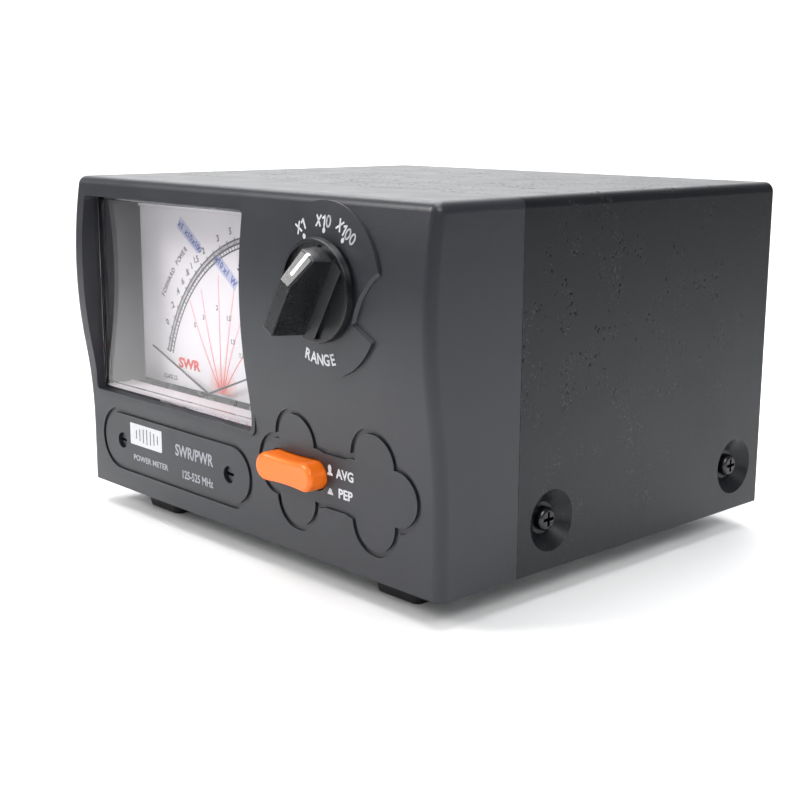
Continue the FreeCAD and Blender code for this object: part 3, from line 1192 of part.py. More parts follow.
def make_coupler_line():
    """Through line from one centre contact to the other."""
    x = CONNECTOR_HALF_PITCH
    pieces = [rod_x(-x, x, LINE_Y, CONNECTOR_Z, LINE_R)]
    for side in (-1, 1):
        pieces.append(rod_y(side * x, CONNECTOR_Z, LINE_R, LINE_Y, CONTACT_INNER))
        pieces.append(Part.makeSphere(LINE_R, vec(side * x, LINE_Y, CONNECTOR_Z)))
    return joined(pieces)


FLANGE_FACE = Y_PANEL + PLATE_THICKNESS
FLANGE_OUT = FLANGE_FACE + FLANGE_THICKNESS
BARREL_END = Y_REAR + CONNECTOR_REACH


def make_connector(x):
    """Square-flange socket: coupling barrel outside, a short spigot inside."""
    half = CONNECTOR_FLANGE / 2
    plate = rounded_plate_y(x - half, x + half, CONNECTOR_Z - half, CONNECTOR_Z + half, 2.5,
                            FLANGE_FACE, FLANGE_OUT)
    barrel = rod_y(x, CONNECTOR_Z, CONNECTOR_R, FLANGE_OUT, BARREL_END)
    mouth = [e for e in barrel.Edges if e.BoundBox.YMin > BARREL_END - 0.01]
    barrel = barrel.makeChamfer(0.6, mouth)
    spigot = rod_y(x, CONNECTOR_Z, INSULATOR_R + 1.4, COUPLER_REAR - COUPLER_WALL, FLANGE_FACE + 0.5)
    shell = joined([plate, barrel, spigot])
    cuts = [rod_y(x, CONNECTOR_Z, INSULATOR_R + SLIP, COUPLER_REAR - COUPLER_WALL - 1, BARREL_END + 1),
            rod_y(x, CONNECTOR_Z, MOUTH_R, BARREL_END - INSULATOR_RECESS, BARREL_END + 1)]
    cuts += [rod_y(x + dx, CONNECTOR_Z + dz, hole_r(), FLANGE_FACE - 1, FLANGE_OUT + 1)
             for dx in (-FLANGE_HOLE_HALF, FLANGE_HOLE_HALF)
             for dz in (-FLANGE_HOLE_HALF, FLANGE_HOLE_HALF)]
    for i in range(4):
        angle = math.radians(45 + 90 * i)
        cuts.append(rod_y(x + CONNECTOR_R * math.cos(angle), CONNECTOR_Z + CONNECTOR_R * math.sin(angle), 0.9,
                          BARREL_END - 1.5, BARREL_END + 1))
    return without(shell, cuts)


def make_connector_insulators():
    parts = []
    for x in CONNECTOR_PLACES.values():
        disc = rod_y(x, CONNECTOR_Z, INSULATOR_R, CONTACT_INNER + 2.0, BARREL_END - INSULATOR_RECESS)
        parts.append(disc.cut(rod_y(x, CONNECTOR_Z, CONTACT_R + SLIP, CONTACT_INNER, BARREL_END)))
    return Part.makeCompound(parts)


def make_connector_contacts():
    parts = []
    for x in CONNECTOR_PLACES.values():
        mouth = BARREL_END - INSULATOR_RECESS
        tube = rod_y(x, CONNECTOR_Z, CONTACT_R, CONTACT_INNER, mouth)
        tube = tube.cut(rod_y(x, CONNECTOR_Z, CONTACT_BORE_R, FLANGE_OUT, BARREL_END))
        slits = [block(x - 0.2, x + 0.2, mouth - 8, BARREL_END, CONNECTOR_Z - 4, CONNECTOR_Z + 4),
                 block(x - 4, x + 4, mouth - 8, BARREL_END, CONNECTOR_Z - 0.2, CONNECTOR_Z + 0.2)]
        parts.append(without(tube, slits))
    return Part.makeCompound(parts)


def make_connector_screws():
    length = FLANGE_OUT - COUPLER_REAR + COUPLER_WALL - SMALL_GAP
    return screws([(x, FLANGE_OUT, z) for x, z in FLANGE_SCREW_PLACES], vec(0, 1, 0), length)


def make_dc_jack():
    x, z = JACK_X, Z_FLOOR + JACK_HEIGHT
    flange = rod_y(x, z, JACK_R + 2.0, FLANGE_FACE, FLANGE_FACE + 1.5)
    edge = [e for e in flange.Edges if e.BoundBox.YMin > FLANGE_FACE + 1.4]
    flange = flange.makeFillet(0.4, edge)
    body = joined([flange, rod_y(x, z, JACK_R, Y_PANEL - 10.0, FLANGE_FACE + 0.5),
                   block(x - 4.5, x + 4.5, Y_PANEL - 12.0, Y_PANEL - SLIP, z - 5.5, z + 5.5)])
    return body.cut(rod_y(x, z, JACK_BORE_R, Y_PANEL - 8.5, Y_REAR + 5))


def make_dc_jack_pin():
    x, z = JACK_X, Z_FLOOR + JACK_HEIGHT
    pin = rod_y(x, z, 1.05, Y_PANEL - 8.5, FLANGE_FACE)
    tip = [e for e in pin.Edges if e.BoundBox.YMin > FLANGE_FACE - 0.01]
    return pin.makeFillet(0.5, tip)


def make_sensor_cable():
    """Detector lead from the coupler's front wall down to the header on the main board."""
    route = [vec(CABLE_X, COUPLER_FRONT + COUPLER_WALL, CABLE_Z),
             vec(CABLE_X, HEADER_Y, CABLE_Z),
             vec(CABLE_X, HEADER_Y, MAIN_BOARD_TOP + HEADER_HEIGHT)]
    into = (route[1] - route[0]).normalize()
    out = (route[2] - route[1]).normalize()
    bend = 0.45 * min((route[1] - route[0]).Length, (route[2] - route[1]).Length)
    start, end = route[1] - into * bend, route[1] + out * bend
    centre = start + out * bend
    middle = centre + (route[1] - centre).normalize() * bend
    edges = [Part.LineSegment(route[0], start).toShape(),
             Part.Arc(start, middle, end).toShape(),
             Part.LineSegment(end, route[2]).toShape()]
    circle = Part.Wire(Part.Circle(route[0], into, CABLE_R).toShape())
    return Part.Wire(edges).makePipeShell([circle], True, False)


# ---------------------------------------------------------------- build
NODES = {
    "front_bezel": make_front_bezel,
    "top_cover": make_top_cover,
    "chassis_base": make_chassis_base,
    "rear_panel": make_rear_panel,
    "cover_screws": make_cover_screws,
    "front_screws": make_front_screws,
    "rear_screws": make_rear_screws,
    "foot_screws": make_foot_screws,
    "range_knob": make_range_knob,
    "knob_pointer_line": make_knob_pointer_line,
    "range_shaft": make_range_shaft,
    "range_switch_body": make_range_switch_body,
    "range_bushing": make_range_bushing,
    "mode_button": make_mode_button,
    "mode_plunger": make_mode_plunger,
    "mode_switch_body": make_mode_switch_body,
    "mode_spring": make_mode_spring,
    "meter_cover": make_meter_cover,
    "meter_housing": make_meter_housing,
    "dial_plate": make_dial_plate,
    "meter_mask": make_meter_mask,
    "movement_yokes": make_movement_yokes,
    "core_magnets": make_core_magnets,
    "movement_bridges": make_movement_bridges,
    "hairsprings": make_hairsprings,
    "forward_pointer": lambda: make_pointer(1),
    "forward_coil": lambda: make_coil(1),
    "reflected_pointer": lambda: make_pointer(-1),
    "reflected_coil": lambda: make_coil(-1),
    "left_zero_screw": lambda: make_zero_screw(-1),
    "right_zero_screw": lambda: make_zero_screw(1),
    "left_zero_lever": lambda: make_zero_lever(-1),
    "right_zero_lever": lambda: make_zero_lever(1),
    "lamp_strip": make_lamp_strip,
    "dial_lamps": make_dial_lamps,
    "switch_board": make_switch_board,
    "board_pillars": make_board_pillars,
    "board_screws": make_board_screws,
    "main_board": make_main_board,
    "board_chips": make_board_chips,
    "board_capacitors": make_board_capacitors,
    "trimmers": make_trimmers,
    "cable_header": make_cable_header,
    "coupler_housing": make_coupler_housing,
    "coupler_lid": make_coupler_lid,
    "coupler_lid_screws": make_coupler_lid_screws,
    "coupler_board": make_coupler_board,
    "coupler_line": make_coupler_line,
    "connector_insulators": make_connector_insulators,
    "connector_contacts": make_connector_contacts,
    "connector_screws": make_connector_screws,
    "dc_jack": make_dc_jack,
    "dc_jack_pin": make_dc_jack_pin,
    "sensor_cable": make_sensor_cable,
}
for foot_name, foot_place in FOOT_PLACES.items():
    NODES[foot_name] = lambda place=foot_place: make_foot(*place)
for connector_name, connector_x in CONNECTOR_PLACES.items():
    NODES[connector_name] = lambda place=connector_x: make_connector(place)

os.makedirs("parts", exist_ok=True)
for name, make in NODES.items():
    shape = make()
    shape.exportStep("parts/" + name + ".step")
    print(f"{name}: {len(shape.Solids)} solid(s), volume {shape.Volume:.1f}, valid {shape.isValid()}")
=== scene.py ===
import bpy
import bmesh
import json
import math
from mathutils import Euler, Matrix, Vector


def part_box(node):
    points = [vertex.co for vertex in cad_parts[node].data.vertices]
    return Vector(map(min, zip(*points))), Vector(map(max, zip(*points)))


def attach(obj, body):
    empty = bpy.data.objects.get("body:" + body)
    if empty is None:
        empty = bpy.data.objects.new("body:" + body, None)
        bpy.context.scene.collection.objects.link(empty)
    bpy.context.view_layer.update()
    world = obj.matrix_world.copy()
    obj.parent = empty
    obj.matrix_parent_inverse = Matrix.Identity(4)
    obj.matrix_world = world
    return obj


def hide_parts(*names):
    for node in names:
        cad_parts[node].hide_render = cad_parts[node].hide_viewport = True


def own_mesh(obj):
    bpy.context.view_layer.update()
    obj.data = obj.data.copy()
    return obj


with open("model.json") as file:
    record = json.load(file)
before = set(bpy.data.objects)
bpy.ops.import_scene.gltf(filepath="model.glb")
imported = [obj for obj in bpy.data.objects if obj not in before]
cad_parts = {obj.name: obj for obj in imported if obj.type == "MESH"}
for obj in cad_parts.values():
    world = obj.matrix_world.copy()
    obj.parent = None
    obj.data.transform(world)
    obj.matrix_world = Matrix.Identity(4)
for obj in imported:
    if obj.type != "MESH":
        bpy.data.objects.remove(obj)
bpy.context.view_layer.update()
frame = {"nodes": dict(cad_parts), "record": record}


def joint_row(name):
    return next(row for row in frame["record"]["behaviour"]["joints"] if row["name"] == name)


MM = 0.001
INK = 0.02 * MM            # thickness of printed ink, and how far it stands off its panel
DIAL_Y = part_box("dial_plate")[0].y
CASE_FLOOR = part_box("front_bezel")[0].z / MM
METER_X = (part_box("meter_housing")[0].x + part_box("meter_housing")[1].x) / 2 / MM
FAN_FOOT = (METER_X - 2.0, 29.4 + CASE_FLOOR)
KNOB_X, _, KNOB_Z = (value / MM for value in joint_row("range_turn")["pos_m"])
SOCKET_X, SOCKET_Z = 0.027, 0.0485
THREAD_START = 0.0605
DIAL_WHITE = (0.9, 0.885, 0.9)


# ------------------------------------------------------------------ camera
CAMERA_PLACE = (0.264043, -0.252172, 0.108647)
CAMERA_LENS = 61.583
CAMERA_DIP = 11.983        # degrees below level
CAMERA_TURN = 47.075       # degrees round Z
CAMERA_ROLL = 0.26
STAGE_TURN = 47.3          # the backdrop stands square to the camera


def set_camera():
    data = bpy.data.cameras.new("camera")
    data.sensor_width = 36.0
    data.lens = CAMERA_LENS
    data.clip_start = 0.01
    camera = bpy.data.objects.new("camera", data)
    bpy.context.scene.collection.objects.link(camera)
    camera.location = CAMERA_PLACE
    aim = Euler((math.radians(90 - CAMERA_DIP), 0, math.radians(CAMERA_TURN))).to_matrix()
    roll = Matrix.Rotation(math.radians(CAMERA_ROLL), 3, "Z")
    camera.rotation_euler = (aim @ roll).to_euler()
    bpy.context.scene.camera = camera


# ------------------------------------------------------------------ node helpers
def group_named(name, inputs, outputs):
    """An empty node group with its sockets, and its input and output nodes."""
    group = bpy.data.node_groups.new(name, "ShaderNodeTree")
    for label, kind, value in inputs:
        socket = group.interface.new_socket(name=label, in_out="INPUT", socket_type=kind)
        socket.default_value = value
    for label, kind in outputs:
        group.interface.new_socket(name=label, in_out="OUTPUT", socket_type=kind)
    return group, group.nodes.new("NodeGroupInput"), group.nodes.new("NodeGroupOutput")


def add(tree, kind, links=None, **values):
    """A node with its properties and socket values set, and its inputs joined."""
    node = tree.nodes.new(kind)
    for key, value in values.items():
        setattr(node, key, value)
    for key, value in (links or {}).items():
        if isinstance(value, bpy.types.NodeSocket):
            tree.links.new(value, node.inputs[key])
        else:
            node.inputs[key].default_value = value
    return node


def maths(tree, operation, a, b=0.0, clamp=False):
    """Output of a maths node on two sockets or numbers."""
    node = add(tree, "ShaderNodeMath", {0: a, 1: b}, operation=operation)
    node.use_clamp = clamp
    return node.outputs[0]


def mapped(tree, value, low, high, new_low=0.0, new_high=1.0):
    """A value carried from one range to another, and held at its ends."""
    node = add(tree, "ShaderNodeMapRange", {0: value, 1: low, 2: high, 3: new_low, 4: new_high})
    return node.outputs[0]


def mixed(tree, factor, a, b):
    """Two colours mixed by a factor."""
    node = tree.nodes.new("ShaderNodeMix")
    node.data_type = "RGBA"
    for index, value in ((0, factor), (6, a), (7, b)):
        if isinstance(value, bpy.types.NodeSocket):
            tree.links.new(value, node.inputs[index])
        else:
            node.inputs[index].default_value = value
    return node.outputs[2]


def noise(tree, place, scale, detail=2.0, roughness=0.5):
    node = add(tree, "ShaderNodeTexNoise", {"Vector": place, "Detail": detail, "Roughness": roughness})
    if isinstance(scale, bpy.types.NodeSocket):
        tree.links.new(scale, node.inputs["Scale"])
    else:
        node.inputs["Scale"].default_value = scale
    return node.outputs["Fac"]


def object_place(tree):
    return tree.nodes.new("ShaderNodeTexCoord").outputs["Object"]


# ------------------------------------------------------------------ shared surface effects
def build_moulded_grain():
    """Eroded tool texture with slow colour and gloss changes, for mouldings and paint."""
    group, into, out = group_named("moulded_grain", [
        ("Color", "NodeSocketColor", (0.5, 0.5, 0.5, 1)), ("Variation", "NodeSocketFloat", 0.1),
        ("Roughness", "NodeSocketFloat", 0.5), ("Scale", "NodeSocketFloat", 1800.0)],
        [("Color", "NodeSocketColor"), ("Roughness", "NodeSocketFloat"), ("Height", "NodeSocketFloat")])
    place = object_place(group)
    fine = noise(group, place, into.outputs["Scale"], 3.0, 0.6)
    slow = noise(group, place, 22.0, 3.0, 0.55)
    smears = noise(group, place, 75.0, 4.0, 0.6)
    swing = maths(group, "MULTIPLY", maths(group, "SUBTRACT", slow, 0.5), into.outputs["Variation"])
    grain_swing = maths(group, "MULTIPLY", maths(group, "SUBTRACT", fine, 0.5), into.outputs["Variation"])
    lightness = maths(group, "ADD", maths(group, "ADD", swing, grain_swing), 1.0)
    hsv = add(group, "ShaderNodeHueSaturation", {"Value": lightness, "Color": into.outputs["Color"]})
    group.links.new(hsv.outputs["Color"], out.inputs["Color"])
    smear_swing = maths(group, "MULTIPLY", maths(group, "SUBTRACT", smears, 0.5), 0.16)
    fine_swing = maths(group, "MULTIPLY", maths(group, "SUBTRACT", fine, 0.5), 0.12)
    gloss = maths(group, "ADD", into.outputs["Roughness"], smear_swing)
    gloss = maths(group, "ADD", gloss, fine_swing, True)
    group.links.new(gloss, out.inputs["Roughness"])
    group.links.new(fine, out.inputs["Height"])
    return group


def build_wear_and_highlight_edges():
    """Mask of the convex and concave edges, broken up, for rubbed corners and for painted edge highlights
    where light would catch rounded edges.
    """
    group, into, out = group_named("edge_wear_and_highlight", [
        ("Width", "NodeSocketFloat", 0.0005), ("Amount", "NodeSocketFloat", 0.5)],
        [("Mask", "NodeSocketFloat")])
    bevel = group.nodes.new("ShaderNodeBevel")
    bevel.samples = 6
    group.links.new(into.outputs["Width"], bevel.inputs["Radius"])
    flat = group.nodes.new("ShaderNodeNewGeometry").outputs["Normal"]
    dot = add(group, "ShaderNodeVectorMath", {0: bevel.outputs["Normal"], 1: flat}, operation="DOT_PRODUCT")
    edge = mapped(group, dot.outputs["Value"], 0.995, 0.86)
    broken = mapped(group, noise(group, object_place(group), 420.0, 4.0, 0.65), 0.38, 0.66)
    mask = maths(group, "MULTIPLY", maths(group, "MULTIPLY", edge, broken), into.outputs["Amount"], True)
    group.links.new(mask, out.inputs["Mask"])
    return group


def build_flecks():
    """Irregular pits and nibs in paint, gathered in drifts between two heights and towards the front."""
    group, into, out = group_named("flecks", [
        ("Scale", "NodeSocketFloat", 420.0), ("Density", "NodeSocketFloat", 0.5),
        ("Low", "NodeSocketFloat", 0.04), ("High", "NodeSocketFloat", 0.08),
        ("Rear Fade", "NodeSocketFloat", 0.5)],
        [("Mask", "NodeSocketFloat")])
    place = object_place(group)
    warp = add(group, "ShaderNodeTexNoise", {"Vector": place, "Scale": 900.0, "Detail": 3.0})
    nudge = add(group, "ShaderNodeVectorMath", {0: warp.outputs["Color"], 3: 0.0022}, operation="SCALE")
    shifted = add(group, "ShaderNodeVectorMath", {0: place, 1: nudge.outputs[0]}, operation="ADD")
    cells = add(group, "ShaderNodeTexVoronoi", {"Vector": shifted.outputs[0], "Scale": into.outputs["Scale"]})
    size = mapped(group, noise(group, place, 160.0, 2.0), 0.35, 0.7, 0.1, 0.34)
    dots = mapped(group, maths(group, "SUBTRACT", size, cells.outputs["Distance"]), 0.0, 0.05)
    drift = noise(group, place, 70.0, 3.0, 0.6)
    bareness = maths(group, "MULTIPLY", maths(group, "SUBTRACT", 1.0, into.outputs["Density"]), 0.4)
    patches = mapped(group, maths(group, "SUBTRACT", drift, bareness), 0.26, 0.34)
    xyz = add(group, "ShaderNodeSeparateXYZ", {0: place})
    upper = add(group, "ShaderNodeMapRange",
                {0: xyz.outputs["Z"], 1: into.outputs["Low"], 2: into.outputs["High"]})
    rear = maths(group, "MULTIPLY", mapped(group, xyz.outputs["Y"], -0.01, 0.05), into.outputs["Rear Fade"])
    mask = maths(group, "MULTIPLY", maths(group, "MULTIPLY", dots, patches), upper.outputs[0])
    mask = maths(group, "MULTIPLY", mask, maths(group, "SUBTRACT", 1.0, rear), True)
    group.links.new(mask, out.inputs["Mask"])
    return group


def build_brushed():
    """Fine drawn lines along X with gloss streaks, for sheet and turned metal."""
    group, into, out = group_named("brushed_lines", [
        ("Scale", "NodeSocketFloat", 900.0), ("Roughness", "NodeSocketFloat", 0.3)],
        [("Roughness", "NodeSocketFloat"), ("Height", "NodeSocketFloat")])
    stretched = add(group, "ShaderNodeVectorMath", {0: object_place(group), 1: (0.04, 1.0, 1.0)},
                    operation="MULTIPLY")
    lines = noise(group, stretched.outputs[0], into.outputs["Scale"], 3.0, 0.7)
    cloud = noise(group, object_place(group), 60.0, 3.0, 0.5)
    swing = maths(group, "MULTIPLY", maths(group, "ADD", lines, maths(group, "SUBTRACT", cloud, 1.0)), 0.25)
    rough = maths(group, "ADD", into.outputs["Roughness"], swing, True)
    group.links.new(rough, out.inputs["Roughness"])
    group.links.new(lines, out.inputs["Height"])
    return group


def build_thread_ridges():
    """Ridges of a coupling thread round an axis along Y, on both sides of the case's middle."""
    group, into, out = group_named("thread_ridges", [
        ("Axis X", "NodeSocketFloat", SOCKET_X), ("Axis Z", "NodeSocketFloat", SOCKET_Z),
        ("Inner Radius", "NodeSocketFloat", 0.0077), ("Pitch", "NodeSocketFloat", 0.001058)],
        [("Height", "NodeSocketFloat")])
    xyz = add(group, "ShaderNodeSeparateXYZ", {0: object_place(group)})
    dx = maths(group, "SUBTRACT", maths(group, "ABSOLUTE", xyz.outputs["X"]), into.outputs["Axis X"])
    dz = maths(group, "SUBTRACT", xyz.outputs["Z"], into.outputs["Axis Z"])
    reach = maths(group, "SQRT", maths(group, "ADD", maths(group, "MULTIPLY", dx, dx),
                                       maths(group, "MULTIPLY", dz, dz)))
    on_wall = maths(group, "MULTIPLY", maths(group, "GREATER_THAN", reach, into.outputs["Inner Radius"]),
                    maths(group, "GREATER_THAN", xyz.outputs["Y"], THREAD_START))
    turns = maths(group, "DIVIDE", xyz.outputs["Y"], into.outputs["Pitch"])
    ridge = maths(group, "PINGPONG", turns, 0.5)
    group.links.new(maths(group, "MULTIPLY", maths(group, "MULTIPLY", ridge, 2.0), on_wall),
                    out.inputs["Height"])
    return group


GRAIN = build_moulded_grain()
WEAR_AND_HIGHLIGHT = build_wear_and_highlight_edges()
FLECKS = build_flecks()
BRUSHED = build_brushed()
THREAD = build_thread_ridges()


def grouped(tree, group, **values):
    """A shared effect in a material, with its inputs set; an underscore stands for a space."""
    node = tree.nodes.new("ShaderNodeGroup")
    node.node_tree = group
    for key, value in values.items():
        node.inputs[key.replace("_", " ")].default_value = value
    return node


def new_material(name):
    material = bpy.data.materials.new(name)
    material.use_nodes = True
    tree = material.node_tree
    shader = next(n for n in tree.nodes if n.type == "BSDF_PRINCIPLED")
    return material, tree, shader


def bumped(tree, shader, height, depth):
    """Relief on a shader's normal, from a height between 0 and 1 and a depth in metres."""
    bump = add(tree, "ShaderNodeBump", {"Height": height, "Distance": depth, "Strength": 1.0})
    tree.links.new(bump.outputs["Normal"], shader.inputs["Normal"])
    return bump


def moulding(name, color, roughness, variation=0.15, scale=1800.0, depth=0.00002, wear_and_highlight=0.25,
             worn_and_lit=None, specular=0.5, coat=0.0, sheen=0.0):
    """Moulded plastic, rubber or paint with tool grain, and edges painted lighter: part rubbed wear, part
    painted highlight.
    """
    material, tree, shader = new_material(name)
    grain = grouped(tree, GRAIN, Color=(*color, 1), Variation=variation, Roughness=roughness, Scale=scale)
    edge = grouped(tree, WEAR_AND_HIGHLIGHT, Amount=wear_and_highlight)
    # lighter edge colour laid on by the edge mask: part rubbed wear, part painted highlight on rounded edges
    worn_and_lit = worn_and_lit or tuple(min(1.0, c * 2.2 + 0.01) for c in color)
    tone = mixed(tree, edge.outputs["Mask"], grain.outputs["Color"], (*worn_and_lit, 1))
    tree.links.new(tone, shader.inputs["Base Color"])
    tree.links.new(grain.outputs["Roughness"], shader.inputs["Roughness"])
    shader.inputs["Specular IOR Level"].default_value = specular
    shader.inputs["Coat Weight"].default_value = coat
    shader.inputs["Coat Roughness"].default_value = 0.2
    shader.inputs["Sheen Weight"].default_value = sheen
    bumped(tree, shader, grain.outputs["Height"], depth)
    return material


def metal(name, color, roughness, scale=900.0, depth=0.000006, wear_and_highlight=0.4, threaded=False):
    """Plated, drawn or turned metal with fine lines, and edges painted brighter: part rubbed wear, part
    painted highlight.
    """
    material, tree, shader = new_material(name)
    shader.inputs["Metallic"].default_value = 1.0
    lines = grouped(tree, BRUSHED, Scale=scale, Roughness=roughness)
    edge = grouped(tree, WEAR_AND_HIGHLIGHT, Width=0.0003, Amount=wear_and_highlight)
    cloud = noise(tree, object_place(tree), 130.0, 3.0)
    dull = tuple(c * 0.82 for c in color)
    worn_and_lit_bright = tuple(min(1.0, c * 1.18 + 0.03) for c in color)
    tone = mixed(tree, mapped(tree, cloud, 0.35, 0.65), (*dull, 1), (*color, 1))
    # brighter edge colour laid on by the edge mask: part rubbed wear, part painted highlight on rounded edges
    tone = mixed(tree, edge.outputs["Mask"], tone, (*worn_and_lit_bright, 1))
    tree.links.new(tone, shader.inputs["Base Color"])
    tree.links.new(lines.outputs["Roughness"], shader.inputs["Roughness"])
    bump = bumped(tree, shader, lines.outputs["Height"], depth)
    if threaded:
        ridges = grouped(tree, THREAD)
        second = add(tree, "ShaderNodeBump", {"Height": ridges.outputs["Height"], "Distance": 0.0005,
                                              "Normal": bump.outputs["Normal"]})
        tree.links.new(second.outputs["Normal"], shader.inputs["Normal"])
    return material


def cover_paint(name):
    """Black satin paint on sheet steel, with dust nibs and small pits over the upper half, and edges painted
    grey: part bare rubbed metal, part painted highlight.
    """
    material, tree, shader = new_material(name)
    black = (0.0048, 0.006, 0.0078, 1)
    pit_black = (0.001, 0.001, 0.0012, 1)
    bare_and_edge_highlight_grey = (0.12, 0.12, 0.12, 1)
    grain = grouped(tree, GRAIN, Color=black, Variation=0.3, Roughness=0.36, Scale=1300.0)
    pits = grouped(tree, FLECKS, Scale=560.0, Density=0.62, Low=0.034, High=0.062, Rear_Fade=0.7)
    nibs = grouped(tree, FLECKS, Scale=1100.0, Density=0.5, Low=-0.05, High=0.03, Rear_Fade=0.4)
    edge = grouped(tree, WEAR_AND_HIGHLIGHT, Width=0.0004, Amount=0.35)
    tone = mixed(tree, pits.outputs["Mask"], grain.outputs["Color"], pit_black)
    tone = mixed(tree, maths(tree, "MULTIPLY", nibs.outputs["Mask"], 0.25), tone, bare_and_edge_highlight_grey)
    # grey along the edges: part bare rubbed metal, part painted highlight where light catches the edge
    tone = mixed(tree, edge.outputs["Mask"], tone, bare_and_edge_highlight_grey)
    tree.links.new(tone, shader.inputs["Base Color"])
    dullness = maths(tree, "MULTIPLY", pits.outputs["Mask"], 0.5)
    rough = maths(tree, "ADD", grain.outputs["Roughness"], dullness, True)
    tree.links.new(rough, shader.inputs["Roughness"])
    shader.inputs["Specular IOR Level"].default_value = 0.36
    pit_depth = maths(tree, "MULTIPLY", pits.outputs["Mask"], 1.5)
    height = maths(tree, "SUBTRACT", grain.outputs["Height"], pit_depth)
    bumped(tree, shader, height, 0.00003)
    return material


def clear_cover(name):
    """Clear polished moulding with faint wipe marks; light reaches the dial through it."""
    material, tree, shader = new_material(name)
    shader.inputs["Transmission Weight"].default_value = 1.0
    shader.inputs["IOR"].default_value = 1.49
    wipes = noise(tree, object_place(tree), 160.0, 5.0, 0.7)
    tree.links.new(mapped(tree, wipes, 0.35, 0.75, 0.015, 0.07), shader.inputs["Roughness"])
    tint = mixed(tree, mapped(tree, wipes, 0.3, 0.7), (0.985, 0.98, 0.985, 1), (0.96, 0.95, 0.96, 1))
    tree.links.new(tint, shader.inputs["Base Color"])
    clear = add(tree, "ShaderNodeBsdfTransparent", {"Color": (0.965, 0.955, 0.965, 1)})
    path = tree.nodes.new("ShaderNodeLightPath")
    passing = maths(tree, "MAXIMUM", path.outputs["Is Shadow Ray"], path.outputs["Is Diffuse Ray"])
    both = add(tree, "ShaderNodeMixShader", {0: passing})
    out = next(n for n in tree.nodes if n.type == "OUTPUT_MATERIAL")
    tree.links.new(shader.outputs[0], both.inputs[1])
    tree.links.new(clear.outputs[0], both.inputs[2])
    tree.links.new(both.outputs[0], out.inputs["Surface"])
    return material


def printed(name, color, roughness=0.5, patchy=0.08):
    """Screen-printed ink, very slightly uneven."""
    material, tree, shader = new_material(name)
    cover = noise(tree, object_place(tree), 2600.0, 3.0, 0.6)
    thin = tuple(c * (1 - patchy * 2) for c in color)
    tone = mixed(tree, mapped(tree, cover, 0.35, 0.6), (*thin, 1), (*color, 1))
    tree.links.new(tone, shader.inputs["Base Color"])
    gloss = mapped(tree, cover, 0.2, 0.8, roughness - 0.08, roughness + 0.08)
    tree.links.new(gloss, shader.inputs["Roughness"])
    return material


def fan_ink(name):
    """Red ink that is stronger towards the foot of the fan."""
    material, tree, shader = new_material(name)
    height = add(tree, "ShaderNodeSeparateXYZ", {0: object_place(tree)}).outputs["Z"]
    near = mapped(tree, height, 0.036, 0.062)
    cover = noise(tree, object_place(tree), 2600.0, 3.0, 0.6)
    tone = mixed(tree, near, (0.78, 0.03, 0.02, 1), (0.85, 0.16, 0.13, 1))
    tone = mixed(tree, mapped(tree, cover, 0.4, 0.9), tone, (0.9, 0.35, 0.3, 1))
    tree.links.new(tone, shader.inputs["Base Color"])
    shader.inputs["Roughness"].default_value = 0.5
    return material


def fan_wash(name):
    """Red tint at the foot of the fan that fades into the dial's white."""
    material, tree, shader = new_material(name)
    foot = (FAN_FOOT[0] * MM, DIAL_Y, FAN_FOOT[1] * MM)
    reach = add(tree, "ShaderNodeVectorMath", {0: object_place(tree), 1: foot}, operation="DISTANCE")
    ragged = noise(tree, object_place(tree), 380.0, 3.0, 0.6)
    ragged_reach = maths(tree, "ADD", reach.outputs["Value"], maths(tree, "MULTIPLY", ragged, 0.003))
    fade = mapped(tree, ragged_reach, 0.0012, 0.0088)
    tone = mixed(tree, mapped(tree, fade, 0.0, 0.45), (0.85, 0.1, 0.07, 1), (0.9, 0.5, 0.46, 1))
    tone = mixed(tree, mapped(tree, fade, 0.35, 1.0), tone, (*DIAL_WHITE, 1))
    tree.links.new(tone, shader.inputs["Base Color"])
    shader.inputs["Roughness"].default_value = 0.55
    return material


def circuit_lacquer(name):
    """Green solder lacquer with tracks showing through."""
    material, tree, shader = new_material(name)
    place = object_place(tree)
    cells = add(tree, "ShaderNodeTexVoronoi", {"Vector": place, "Scale": 190.0}, distance="CHEBYCHEV")
    tracks = mapped(tree, cells.outputs["Distance"], 0.3, 0.36)
    tone = mixed(tree, tracks, (0.01, 0.085, 0.035, 1), (0.025, 0.16, 0.06, 1))
    tree.links.new(tone, shader.inputs["Base Color"])
    tree.links.new(mapped(tree, noise(tree, place, 300.0), 0.3, 0.7, 0.22, 0.4), shader.inputs["Roughness"])
    bumped(tree, shader, tracks, 0.00003)
    return material


def winding(name):
    """Enamelled copper wire wound side by side."""
    material, tree, shader = new_material(name)
    wave = add(tree, "ShaderNodeTexWave", {"Vector": object_place(tree), "Scale": 1600.0, "Distortion": 0.6},
               bands_direction="Y")
    tone = mixed(tree, wave.outputs["Fac"], (0.32, 0.09, 0.03, 1), (0.72, 0.3, 0.12, 1))
    tree.links.new(tone, shader.inputs["Base Color"])
    shader.inputs["Metallic"].default_value = 0.8
    tree.links.new(mapped(tree, wave.outputs["Fac"], 0, 1, 0.45, 0.25), shader.inputs["Roughness"])
    bumped(tree, shader, wave.outputs["Fac"], 0.00004)
    return material


INK_WHITE = printed("legend_white", (0.64, 0.65, 0.67), 0.45)
INK_SOFT = printed("legend_soft_white", (0.36, 0.37, 0.4), 0.5)
INK_BLACK = printed("dial_black", (0.025, 0.025, 0.03), 0.5)
INK_GREY = printed("dial_grey", (0.07, 0.07, 0.075), 0.5)
INK_BLUE = printed("dial_blue", (0.07, 0.11, 0.42), 0.5)
INK_PALE_BLUE = printed("dial_pale_blue", (0.6, 0.63, 0.83), 0.5)
INK_RED = printed("dial_red", (0.8, 0.06, 0.035), 0.5)
INK_FAN = fan_ink("dial_fan_red")

